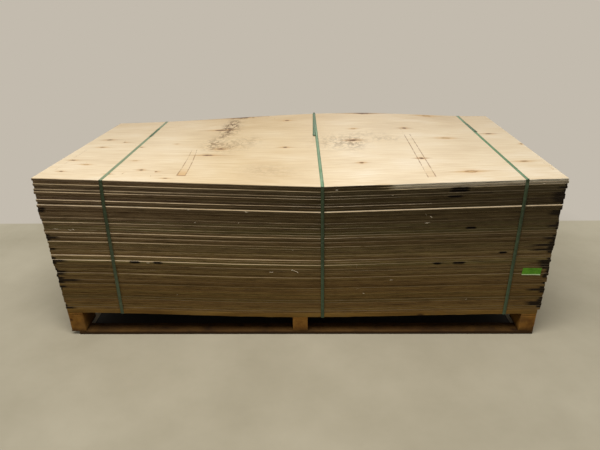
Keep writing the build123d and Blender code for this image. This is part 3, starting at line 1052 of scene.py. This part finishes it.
# %% Make the top sheet
top_cell = 0.0102
top_board = packs["top_sheet"][0]
stations = stations_of(top_board, top_cell)
near = edge_line(top_board, "near", stations)
far = far_smoothed(edge_line(top_board, "far", stations))
rows = round(sheet_width / top_cell)
columns = len(stations)
vertices, faces, rims = [], [], []
for row in range(rows + 1):
    share = row / rows
    for column in range(columns):
        point = near[column] + (far[column] - near[column]) * share
        out_x = -1 if column == 0 else 1 if column == columns - 1 else 0
        out_y = -1 if row == 0 else 1 if row == rows else 0
        side = "near" if row == 0 else "far" if row == rows else "left" if column == 0 else "right"
        vertices.append(point)
        rims.append((out_x, out_y, top_board["number"], *mark_values(top_board, point, side)))
for row in range(rows):
    for column in range(columns - 1):
        corner = row * columns + column
        faces.append([corner, corner + 1, corner + columns + 1, corner + columns])
mesh = guide_mesh("top_underside", vertices, faces, rims)
set_attribute(mesh, "knot", "FLOAT_VECTOR", [knot_value(point[0], point[1]) for point in vertices])
set_attribute(mesh, "strip", "FLOAT_VECTOR", [joint_value(point[0], point[1]) for point in vertices])
set_attribute(mesh, "stain", "FLOAT", [stain_value(point[0], point[1]) for point in vertices])
top = run_tree(
    "plywood_top_sheet",
    mesh,
    plies_tree,
    Thickness=top_board["thickness"],
    Wander=0.0004,
    Face_material=face_veneer,
    Edge_material=sawn_edge,
)
finish_piece(top, "plywood", "top_sheet")

# %% [markdown]
# ## Pallet timber
# The pallet is made of cheap pine, sawn and never planed. One material can dress every piece if
# it is drawn as solid wood: growth rings are cylinders round the pith of the log, so the same
# rings give arcs on an end and flames on a face. Each piece carries its own place in its log as
# an attribute, because it was cut from another log, with its grain along its length.

# %% Material: rough-sawn pine
rough_pine, tree, shader = new_material("rough sawn pine", roughness=0.8, gloss=0.15)
log_place = attribute(tree, "log", "Vector")
place = object_place(tree)
warp = noise(tree, log_place, (400, 60, 60), 3.0)
warp_shift = vector_calc(tree, "MULTIPLY_ADD", warp.outputs["Color"], (0.0, 0.014, 0.014), log_place)
across_log = vector_calc(tree, "MULTIPLY", warp_shift, (0.0, 1.0, 1.0))
ring_reach = length(tree, across_log)
# Growth rings 5 mm apart
ring_turn = calc(tree, "DIVIDE", ring_reach, 0.005)
ring = calc(tree, "FRACT", ring_turn)
ring_tone = ramp(
    tree, ring, (0.0, "#8b6331"), (0.15, "#a2783f"), (0.7, "#996f38"), (0.95, "#7c5429"), (1.0, "#8b6331")
)
board_cloud = noise(tree, log_place, (300, 40, 40), 4.0)
cloud_tone = ramp(tree, board_cloud, (0.3, "#a98f74"), (0.6, "#fff8ee"))
clouded = tinted(tree, 0.7, ring_tone, cloud_tone)
# Knots, one in every 180 mm of board or so
knot_cells = add(
    tree, "ShaderNodeTexVoronoi", {"Vector": stretched(tree, log_place, 180, 90, 90), "Scale": 1.0}
)
knot_shape = calc(tree, "MULTIPLY_ADD", warp, 0.2, knot_cells.outputs["Distance"])
knot_share = span(tree, knot_shape, 0.25, 0.17, high=0.85)
knotty = mixed(tree, knot_share, clouded, "#4a2b16")
# The saw leaves fuzzy fibres that hold dust, and lines 6 mm apart across the board
dust = noise(tree, place, 9.0, 5.0, 0.65)
dust_share = span(tree, dust, 0.52, 0.75, high=0.35)
dusty = mixed(tree, dust_share, knotty, "#6d5a43")
# The deck's boards are older wood, and have lost their red
fresh = attribute(tree, "fresh")
aged = span(tree, fresh, low=1.0, high=0.0)
dusty = tinted(tree, aged, dusty, "#d2e2d8")
blushed = tinted(tree, fresh, dusty, "#e3e2c8")
# Low boards are darker towards the bottom
height = split(tree, place)["Z"]
ragged_height = calc(tree, "MULTIPLY_ADD", dust, 0.03, height)
low_darkening = span(tree, ragged_height, 0.062, 0.028, high=0.9)
low_darkened = mixed(tree, low_darkening, blushed, "#21150b")
# Knots and scrapes that can be seen in the photograph
# One of these marks is painted shade on the inner side of the front left block
dark_mark_and_shade = attribute(tree, "dark_mark_and_shade")
spotted = mixed(tree, dark_mark_and_shade, low_darkened, "#1f120a")
tree.links.new(spotted, shader.inputs["Base Color"])
saw_lines = add(
    tree, "ShaderNodeTexWave",
    {"Vector": stretched(tree, log_place, 38, 400, 400), "Scale": 1.0, "Distortion": 2.5, "Detail": 3.0},
)
fibres = noise(tree, log_place, (30, 2, 2), 3.0)
sawn_relief = calc(tree, "MULTIPLY_ADD", saw_lines.outputs["Fac"], 0.5, fibres)
emboss(tree, shader, 0.6, 0.001, sawn_relief)

# %% [markdown]
# ## Sawn pieces
# The frame has each board and block as a sharp, empty box. A real one has worn edges and a
# surface that the saw left wavy. The frame's mesh is copied, welded and cut into small cells, with
# a narrow row along each edge, and a tree then pushes the cells in by a noise, and the edges more.

# %% The tree that wears the timber
def wear_timber():
    """A tree that makes the surface of a cut-up board wavy and its edges worn."""
    tree, given = new_tree(
        "Wear timber", Timber="Geometry", Waviness=0.0008, Edge_wear=0.0022, Seed=1.0,
        Timber_material="Material",
    )
    position = add(tree, "GeometryNodeInputPosition")
    normal = add(tree, "GeometryNodeInputNormal")
    folded = add(tree, "GeometryNodeInputMeshEdgeAngle").outputs["Unsigned Angle"]
    sharp = calc(tree, "GREATER_THAN", folded, 0.7)
    on_edge = add(tree, "GeometryNodeFieldOnDomain", {0: sharp}, data_type="FLOAT", domain="EDGE")
    at_point = add(tree, "GeometryNodeFieldOnDomain", {0: on_edge}, data_type="FLOAT", domain="POINT")
    edge_here = calc(tree, "GREATER_THAN", at_point, 0.01)
    wave = noise_with_seed(tree, position, given["Seed"], 16.0, 3.0)
    dent = noise_with_seed(tree, position, given["Seed"], 30.0, 2.0)
    waved = calc(tree, "MULTIPLY", wave, given["Waviness"])
    dented = span(tree, dent, 0.3, 0.75, 0.25)
    worn = calc(tree, "MULTIPLY", dented, given["Edge wear"])
    worn_here = calc(tree, "MULTIPLY", worn, edge_here)
    inward = calc(tree, "ADD", waved, worn_here)
    backward = calc(tree, "MULTIPLY", inward, -1.0)
    offset = add(tree, "ShaderNodeVectorMath", {0: normal, 3: backward}, operation="SCALE")
    shaped = add(tree, "GeometryNodeSetPosition", {"Geometry": given["Timber"], "Offset": offset})
    return finish_tree(tree, shaped, given["Timber material"])


wear_tree = wear_timber()

# %% Cut, place in its log and wear each timber piece
timber_seed = 12
draw = random.Random(timber_seed)
edge_row = 0.0028


# Dark marks on the timber as x, y, z, half sizes and strength: knots and scrapes, and painted shade on the
# inner side of the front left block
dark_marks_and_shade = [
    (-0.720, -0.575, 0.020, 0.045, 0.016, 0.02, 0.8), (-0.485, -0.580, 0.020, 0.020, 0.022, 0.02, 0.9),
    # The first of these two is painted shade on the inner side of the front left block
    (-1.130, -0.530, 0.070, 0.012, 0.075, 0.07, 0.65), (0.395, -0.580, 0.020, 0.030, 0.015, 0.02, 0.6),
]


def spot_value(point):
    """How dark a point of the timber is."""
    strongest = 0.0
    for *middle, half_x, half_y, half_z, strength in dark_marks_and_shade:
        reach = sum(((point[k] - middle[k]) / half) ** 2 for k, half in enumerate((half_x, half_y, half_z)))
        strongest = max(strongest, strength * math.exp(-reach))
    return strongest


def cut_timber(node_name, grain_axis, along_cell=0.028, across_cell=0.014):
    """A welded copy of a timber node, cut into cells, with its place in its log."""
    mesh = bmesh.new()
    mesh.from_mesh(cad_nodes[node_name].data)
    bmesh.ops.remove_doubles(mesh, verts=mesh.verts, dist=1e-5)
    if not node_name.startswith("deck"):
        bmesh.ops.dissolve_limit(mesh, angle_limit=0.002, verts=mesh.verts, edges=mesh.edges)
    low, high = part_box(node_name)
    for axis in range(3):
        cell = along_cell if axis == grain_axis else across_cell
        inner = high[axis] - low[axis] - 2 * edge_row
        count = max(1, round(inner / cell))
        cuts = [low[axis] + edge_row + inner * k / count for k in range(count + 1)]
        direction = Vector([1.0 if k == axis else 0.0 for k in range(3)])
        for cut in cuts:
            everything = mesh.verts[:] + mesh.edges[:] + mesh.faces[:]
            bmesh.ops.bisect_plane(
                mesh, geom=everything, plane_co=direction * cut, plane_no=direction, dist=1e-6
            )
    made = bpy.data.meshes.new(node_name + "_cut")
    mesh.to_mesh(made)
    mesh.free()
    middle = (low + high) / 2
    pith_x, pith_y = draw.uniform(0, 4), draw.uniform(-0.09, 0.09)
    pith = Vector((pith_x, pith_y, draw.choice((-1, 1)) * draw.uniform(0.05, 0.12)))
    tilt = draw.uniform(-0.02, 0.02)
    set_attribute(made, "fresh", "FLOAT", [0.0 if node_name.startswith("deck") else 1.0] * len(made.vertices))
    set_attribute(made, "dark_mark_and_shade", "FLOAT", [spot_value(vertex.co) for vertex in made.vertices])
    log = []
    for vertex in made.vertices:
        local = vertex.co - middle
        along = local[grain_axis]
        across = local[1 - grain_axis]
        log.append((along + pith.x, across + pith.y + tilt * along, local.z + pith.z))
    set_attribute(made, "log", "FLOAT_VECTOR", log)
    return made


timber_names = sorted(name for name in cad_nodes if name.startswith(("block", "bottom", "cross", "deck")))
for node_name in timber_names:
    grain_axis = 1 if node_name.startswith(("block", "cross")) else 0
    cut = cut_timber(node_name, grain_axis)
    piece = run_tree(
        "sawn_" + node_name, cut, wear_tree, Seed=draw.uniform(0, 50), Timber_material=rough_pine
    )
    finish_piece(piece, "pallet_timber", node_name)

# %% [markdown]
# ## Straps
# Each strap is a polyester band, 16 mm wide, rolled hard and embossed with small diamonds so that
# the welding head can grip it. Its green is in the plastic, and its surface is half glossy. It is
# pulled tight round the stack, with small radii at the corners, and its two ends are rubbed
# together until they melt. A tree sweeps the band's section along the path.

# %% Material: embossed PET strapping
strapping, tree, shader = new_material("embossed green PET strapping", roughness=0.42, ior=1.57, gloss=0.25)
run = attribute(tree, "run", "Vector")
place = object_place(tree)
rubbed = noise(tree, place, 11.0, 4.0)
lit_dusty_green = ramp(tree, rubbed, (0.3, "#638563"), (0.7, "#799a76"))
strap_side = span(tree, split(tree, place)["X"], -0.4, -0.8, high=0.45)
lit_dusty_green = mixed(tree, strap_side, lit_dusty_green, "#8f8d74")
clean = attribute(tree, "clean")
lit_dusty_green = mixed(tree, clean, lit_dusty_green, "#3c5f3f")
shaded_clean_green = ramp(tree, rubbed, (0.3, "#2a3621"), (0.7, "#36432d"))
# Lit and shaded copies of the green: upward faces and low parts take the pale dusty green, which is dust and
# also painted light from above and from the floor, and the upright runs keep the dark clean green as painted
# shade
facing_up = split(tree, add(tree, "ShaderNodeNewGeometry").outputs["Normal"])
dust_and_top_light = span(tree, facing_up["Z"], 0.3, 0.8)
dust_and_low_bounce = span(tree, split(tree, place)["Z"], 0.7, 0.2, high=0.2)
dust_share = calc(tree, "MAXIMUM", dust_and_top_light, dust_and_low_bounce)
green = mixed(tree, dust_share, shaded_clean_green, lit_dusty_green)
# Diamonds 3 mm apart
turned = add(tree, "ShaderNodeMapping", {"Vector": run, "Rotation": (0.0, 0.0, math.radians(45))})
diamonds = add(
    tree,
    "ShaderNodeTexVoronoi",
    {"Vector": turned, "Scale": METRE / 3.0, "Randomness": 0.0},
    distance="CHEBYCHEV",
)
scuffs = noise(tree, place, 60.0, 3.0)
scuffed = span(tree, scuffs, 0.5, 0.8, high=0.15)
worn_green = mixed(tree, scuffed, green, "#96ae93")
tree.links.new(worn_green, shader.inputs["Base Color"])
emboss(tree, shader, 0.5, 0.0003, diamonds.outputs["Distance"])

# %% The tree that sweeps a band
def sweep_band():
    """A tree that sweeps a flat band along a path whose points say which way is outwards."""
    tree, given = new_tree(
        "Sweep band", Path="Geometry", Width=0.016, Thickness=0.0009, Band_material="Material"
    )
    curve = add(tree, "GeometryNodeMeshToCurve", {"Mesh": given["Path"]})
    outward = named(tree, "outward", "FLOAT_VECTOR")
    aimed = add(tree, "GeometryNodeSetCurveNormal", {"Curve": curve, "Normal": outward}, mode="FREE")
    along = add(tree, "GeometryNodeSplineParameter").outputs["Length"]
    measured = store(tree, aimed, "along", along)
    section = add(
        tree, "GeometryNodeCurvePrimitiveQuadrilateral",
        {"Width": given["Thickness"], "Height": given["Width"]},
    )
    section_fine = add(tree, "GeometryNodeResampleCurve", {"Curve": section}, mode="EVALUATED")
    section_place = add(tree, "GeometryNodeInputPosition")
    section_parts = split(tree, section_place)
    section_marked = store(tree, section_fine, "across", section_parts["Y"])
    band = add(
        tree, "GeometryNodeCurveToMesh",
        {"Curve": measured, "Profile Curve": section_marked, "Fill Caps": True},
    )
    run = joined(tree, named(tree, "along"), named(tree, "across"))
    marked = store(tree, band, "run", run, "FLOAT_VECTOR")
    return finish_tree(tree, marked, given["Band material"])


band_tree = sweep_band()

# %% The straps' paths
strap_thickness = 0.0009
strap_width = 0.016
strap_gap = 0.0005
strap_shift = 0.003  # the straps stand a little right of their solids' middles
# How far each strap leans to the left from the top to the deck, and from the near to the far edge
strap_leans = {"strap_left": (0.021, 0.0), "strap_middle": (-0.004, 0.030), "strap_right": (-0.010, 0.003)}
# The loose upper end of each strap: where it starts and ends, and how far it is turned
tails = {
    "strap_left": (0.20, 0.40, 0.002),
    "strap_middle": (0.13, 0.590, -0.014),
    "strap_right": (0.20, 0.40, 0.0045),
}
path_steps = 24
band_settings = {"Width": strap_width, "Thickness": strap_thickness, "Band_material": strapping}
deck_near = bent_boards("deck_board_1")[0]["near"]
deck_far = bent_boards("deck_board_7")[0]["far"]
half_depth = 0.61


def edge_at(edge, x):
    """The y and z of an edge's underside at x."""
    return Vector([edge_value(edge, x, axis) for axis in (1, 2)])


def wrapped(points, distance):
    """A closed path at a distance round points in a plane, and the outward way at each place."""
    hull = [points[k] for k in convex_hull_2d(points)]
    path, ways = [], []
    for k, corner in enumerate(hull):
        before = (corner - hull[k - 1]).normalized()
        after = (hull[(k + 1) % len(hull)] - corner).normalized()
        first, last = Vector((before.y, -before.x)), Vector((after.y, -after.x))
        steps = 1 + int(first.angle(last) / math.radians(18))
        for step in range(steps + 1):
            way = first.lerp(last, step / steps).normalized()
            path.append(corner + way * distance)
            ways.append(way)
    return path, ways


def band_mesh(name, path, ways, x_at, closed, clean=0.0):
    """The path as a mesh, with x given for each place in the strap's plane, and how clean it is."""
    made = bpy.data.meshes.new(name)
    count = len(path)
    edges = [(k, (k + 1) % count) for k in range(count if closed else count - 1)]
    made.from_pydata([(x_at(point), point.x, point.y) for point in path], edges, [])
    set_attribute(made, "outward", "FLOAT_VECTOR", [(0.0, way.x, way.y) for way in ways])
    set_attribute(made, "clean", "FLOAT", [clean] * count)
    return made


for strap_name, (lean, slide) in strap_leans.items():
    low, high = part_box(strap_name)
    strap_x = (low.x + high.x) / 2 + strap_shift
    distance = strap_gap + strap_thickness / 2
    top_z = high.z
    low_z = edge_at(deck_near, strap_x).y

    def strap_x_at(point):
        down = min(1.0, max(0.0, (top_z - point.y) / (top_z - low_z)))
        back = min(1.0, max(0.0, (point.x + half_depth) / (2 * half_depth)))
        return strap_x - lean * down - slide * back

    # All that the strap holds, cut at the strap's own x
    held = [edge_at(deck_near, strap_x - lean), edge_at(deck_far, strap_x - lean - slide)]
    for board in sheets:
        for side in ("near", "far"):
            place = edge_at(board[side], strap_x)
            place = edge_at(board[side], strap_x_at(place))
            held += [place, place + Vector((0.0, board["thickness"]))]
    run_z = []
    for step in range(path_steps + 1):
        back = step / path_steps
        x = strap_x - slide * back
        place = edge_at(top_board["near"], x).lerp(edge_at(top_board["far"], x), back)
        held.append(place + Vector((0.0, top_board["thickness"])))
        run_z.append(held[-1])
    path, ways = wrapped(held, distance)
    mesh = band_mesh(strap_name + "_path", path, ways, strap_x_at, True)
    band = run_tree(strap_name + "_band", mesh, band_tree, **band_settings)
    # The upper end lies on the band, a little turned, and its last part stands off
    start_y, end_y, turn = tails[strap_name]
    tail_path = []
    for step in range(path_steps + 1):
        share = step / path_steps
        y = start_y + (end_y - start_y) * share
        z = float(np.interp(y, [place.x for place in run_z], [place.y for place in run_z]))
        free = max(0.0, (0.2 - share) / 0.2)
        tail_path.append(Vector((y, z + distance + strap_thickness + 0.0001 + 0.0025 * free**2)))

    def tail_x_at(point):
        return strap_x_at(point) + turn * (end_y - point.x) / (end_y - start_y)

    tail_ways = [Vector((0.0, 1.0))] * len(tail_path)
    mesh = band_mesh(strap_name + "_tail_path", tail_path, tail_ways, tail_x_at, False, clean=0.85)
    tail = run_tree(strap_name + "_tail", mesh, band_tree, **band_settings)
    whole = bmesh.new()
    whole.from_mesh(band.data)
    whole.from_mesh(tail.data)
    whole.to_mesh(band.data)
    whole.free()
    bpy.data.objects.remove(tail)
    finish_piece(band, "strap", strap_name)

# %% [markdown]
# ## Splinters
# The saw and the forks have torn long fibres out of the edges. They are thin, tapered and curved,
# and they catch the light because they are clean inside. One fibre is drawn as a tapered curve, and
# a tree sets a copy of it on each point, turned along a direction that the point carries.

# %% Material: torn pine fibre
torn_fibre, tree, shader = new_material("torn pine fibre", roughness=0.7, gloss=0.3)
place = object_place(tree)
strand = noise(tree, place, (12, 1, 1), 2.0)
strand_tone = ramp(tree, strand, (0.3, "#d9c39b"), (0.7, "#f2e8d2"))
tree.links.new(strand_tone.outputs[0], shader.inputs["Base Color"])


# %% The tree that sets fibres on points
def set_fibres():
    """A tree that sets a tapered, curved fibre on each point, along the point's direction."""
    tree, given = new_tree(
        "Set fibres", Points="Geometry", Length=0.025, Width=0.0020, Thickness=0.0008, Bend=0.005,
        Seed=4, Fibre_material="Material",
    )
    half_way = calc(tree, "MULTIPLY", given["Length"], 0.5)
    middle = add(tree, "ShaderNodeCombineXYZ", {0: half_way, 2: given["Bend"]})
    end = add(tree, "ShaderNodeCombineXYZ", {0: given["Length"]})
    line = add(
        tree, "GeometryNodeCurveQuadraticBezier",
        {"Resolution": 6, "Start": (0.0, 0.0, 0.0), "Middle": middle, "End": end},
    )
    along = add(tree, "GeometryNodeSplineParameter").outputs["Factor"]
    taper = span(tree, along, low=1.0, high=0.15)
    tapered = add(tree, "GeometryNodeSetCurveRadius", {"Curve": line, "Radius": taper})
    section = add(
        tree, "GeometryNodeCurvePrimitiveQuadrilateral",
        {"Width": given["Width"], "Height": given["Thickness"]},
    )
    fibre = add(
        tree, "GeometryNodeCurveToMesh", {"Curve": tapered, "Profile Curve": section, "Fill Caps": True}
    )
    lay = named(tree, "lay", "FLOAT_VECTOR")
    wanted = length(tree, lay)
    size = calc(tree, "DIVIDE", wanted, given["Length"])
    aimed = add(tree, "FunctionNodeAlignRotationToVector", {"Vector": lay}, axis="X")
    roll = add(
        tree, "FunctionNodeRandomValue", {"Max": 2 * math.pi, "Seed": given["Seed"]}, data_type="FLOAT"
    )
    rolled = add(tree, "FunctionNodeAxisAngleToRotation", {"Axis": (1.0, 0.0, 0.0), "Angle": roll.outputs[1]})
    turn = add(
        tree, "FunctionNodeRotateRotation", {"Rotation": aimed, "Rotate By": rolled}, rotation_space="LOCAL"
    )
    placed = add(
        tree,
        "GeometryNodeInstanceOnPoints",
        {"Points": given["Points"], "Instance": fibre, "Rotation": turn, "Scale": size},
    )
    return finish_tree(tree, placed, given["Fibre material"])


fibre_tree = set_fibres()

# %% Place the splinters
# Those seen on the near side: x, height, and how far they run along x, outwards and up, in metres
seen_splinters = [
    (-0.297, 0.657, 0.016, -0.004, 0.003), (-0.520, 0.727, 0.012, -0.003, 0.002),
    (-1.100, 0.628, 0.026, -0.004, -0.008), (-1.085, 0.622, -0.016, -0.004, 0.010),
    (0.608, 0.693, 0.016, -0.005, -0.012), (0.600, 0.697, -0.010, -0.004, 0.007),
    (0.170, 0.815, 0.014, -0.003, 0.001), (0.280, 0.412, 0.002, -0.004, 0.018),
    (-0.040, 0.387, 0.034, -0.005, -0.012), (-0.052, 0.392, 0.020, -0.004, 0.006),
    (-1.175, 0.640, 0.024, -0.003, -0.004), (-0.150, 0.388, 0.020, -0.003, 0.001),
]
splinter_seed = 31
more_splinters = 70
root_depth = 0.002  # how far a splinter starts inside the edge
draw = random.Random(splinter_seed)
points, lays = [], []
for x, height, along, out, rise in seen_splinters:
    board = nearest_sheet("near", x, height)
    points.append((x, edge_value(board["near"], x, 1) + root_depth, level_at(board, "near", x)))
    lays.append((along, out, rise))
for _ in range(more_splinters):
    board = draw.choice(sheets[:-1])
    side = draw.choice(("far", "far", "left", "right", "near"))
    if side in ("near", "far"):
        x = draw.uniform(-1.15, 1.15)
        outwards = -1 if side == "near" else 1
        place = (x, edge_value(board[side], x, 1) - outwards * root_depth, level_at(board, side, x))
        along, out = draw.choice((-1, 1)) * draw.uniform(0.008, 0.028), draw.uniform(0.002, 0.0045)
        lay = (along, outwards * out, draw.uniform(-0.004, 0.004))
    else:
        share = draw.uniform(0.05, 0.95)
        corner = 0 if side == "left" else -1
        first, last = board["near"][corner], board["far"][corner]
        outwards = -1 if side == "left" else 1
        # A splinter stays inside the box of the stack
        room = min(0.004, abs(cad_box[0][0] if side == "left" else cad_box[1][0]) - abs(first[0]) + 0.0005)
        place = (first[0] - outwards * root_depth, first[1] + (last[1] - first[1]) * share, first[2] + 0.006)
        lay = (
            outwards * room, draw.choice((-1, 1)) * draw.uniform(0.008, 0.024), draw.uniform(-0.004, 0.004)
        )
    points.append(tuple(float(value) for value in place))
    lays.append(lay)
mesh = bpy.data.meshes.new("splinter_points")
mesh.from_pydata(points, [], [])
set_attribute(mesh, "lay", "FLOAT_VECTOR", lays)
splinters = run_tree("splinters", mesh, fibre_tree, Fibre_material=torn_fibre)
finish_piece(splinters, "plywood")

# %% [markdown]
# ## Nails
# Wire nails hold the pallet together. Their flat heads show only from below, two where a bottom
# board crosses a block. They are drawn steel, dull and a little rusty. A nail is the same each
# time, so a tree makes one head and sets it on every point.

# %% Material: drawn steel wire nail
nail_steel, tree, shader = new_material("dull drawn steel nail", roughness=0.45)
shader.inputs["Metallic"].default_value = 1.0
place = object_place(tree)
rust = noise(tree, place, (2.5, 2.5, 2.5), 3.0)
steel_tone = ramp(tree, rust, (0.42, "#8a8783"), (0.55, "#7a6857"), (0.68, "#6b4128"))
tree.links.new(steel_tone.outputs[0], shader.inputs["Base Color"])
rust_rough = span(tree, rust, 0.42, 0.68, 0.4, 0.85)
tree.links.new(rust_rough.outputs[0], shader.inputs["Roughness"])


# %% The tree that sets nail heads
def set_nails():
    """A tree that sets a flat nail head, with a bevelled rim, on each point."""
    tree, given = new_tree(
        "Set nails", Points="Geometry", Head_radius=0.0042, Head_depth=0.0016, Nail_material="Material"
    )
    narrow = calc(tree, "MULTIPLY", given["Head radius"], 0.86)
    head = add(
        tree,
        "GeometryNodeMeshCone",
        {
            "Vertices": 20,
            "Side Segments": 2,
            "Radius Top": given["Head radius"],
            "Radius Bottom": narrow,
            "Depth": given["Head depth"],
        },
        fill_type="NGON",
    )
    placed = add(
        tree, "GeometryNodeInstanceOnPoints", {"Points": given["Points"], "Instance": head.outputs["Mesh"]}
    )
    return finish_tree(tree, placed, given["Nail material"])


nail_tree = set_nails()

# %% Drive the nails
nail_seed = 8
draw = random.Random(nail_seed)
nail_points = []
for name in timber_names:
    if name.startswith("block"):
        low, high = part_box(name)
        middle = (low + high) / 2
        for side in (-1, 1):
            nail_points.append((
                middle.x + side * 0.018 + draw.uniform(-0.005, 0.005),
                middle.y + side * 0.020 + draw.uniform(-0.006, 0.006),
                0.0003,
            ))
mesh = bpy.data.meshes.new("nail_points")
mesh.from_pydata(nail_points, [], [])
nails = run_tree("nails", mesh, nail_tree, Nail_material=nail_steel)
finish_piece(nails, "nail_steel")

# %% [markdown]
# ## Sticker
# A bright green paper sticker sits on the near face by the right end. It spans four sheets, so it
# is not quite flat, and one corner has lifted. It is left bare.

# %% Sticker
sticker_paper, tree, shader = new_material("fluorescent green label paper", roughness=0.7, gloss=0.3)
place = object_place(tree)
smudge = noise(tree, place, 55.0, 4.0)
paper_tone = ramp(tree, smudge, (0.3, "#477b15"), (0.6, "#58931e"))
paper_height = split(tree, place)["Z"]
# Its lower border was left unprinted
border = calc(tree, "LESS_THAN", paper_height, 0.366)
bordered = mixed(tree, border, paper_tone, "#c9dcae")
tree.links.new(bordered, shader.inputs["Base Color"])
sticker_low, sticker_high = Vector((1.093, 0.362)), Vector((1.184, 0.402))
sticker_x, reach = 1.14, 0.012
face_y = min(
    edge_value(board["near"], sticker_x, 1)
    for board in sheets
    if sticker_low.y - reach < level_at(board, "near", sticker_x) < sticker_high.y + reach
)
sticker = bmesh.new()
steps_x, steps_z = 20, 10
paper = 0.00015
layers = []
for back in (0, 1):
    grid = []
    for row in range(steps_z + 1):
        for column in range(steps_x + 1):
            u, v = column / steps_x, row / steps_z
            x = sticker_low.x + (sticker_high.x - sticker_low.x) * u + 0.002 * v
            z = sticker_low.y + (sticker_high.y - sticker_low.y) * v - 0.0015 * u
            curl = 0.0006 * max(0.0, u - v - 0.55) ** 2 / 0.2
            wave = 0.00012 * math.sin(v * 9.0)
            grid.append(sticker.verts.new((x, face_y - 0.0004 - curl - wave + paper * back, z)))
    layers.append(grid)
width = steps_x + 1
for back, grid in enumerate(layers):
    for row in range(steps_z):
        for column in range(steps_x):
            corner = row * width + column
            loop = [grid[corner], grid[corner + 1], grid[corner + width + 1], grid[corner + width]]
            sticker.faces.new(loop if back == 0 else loop[::-1])
rim = (
    list(range(steps_x))
    + [steps_x + width * k for k in range(steps_z)]
    + [width * (steps_z + 1) - 1 - k for k in range(steps_x)]
    + [width * (steps_z - k) for k in range(steps_z)]
)
for k, here in enumerate(rim):
    there = rim[(k + 1) % len(rim)]
    sticker.faces.new((layers[0][there], layers[0][here], layers[1][here], layers[1][there]))
sticker_mesh = bpy.data.meshes.new("sticker")
sticker.to_mesh(sticker_mesh)
sticker.free()
sticker_mesh.materials.append(sticker_paper)
sticker_piece = put_in_scene("green_sticker", sticker_mesh)
finish_piece(sticker_piece, "sticker")
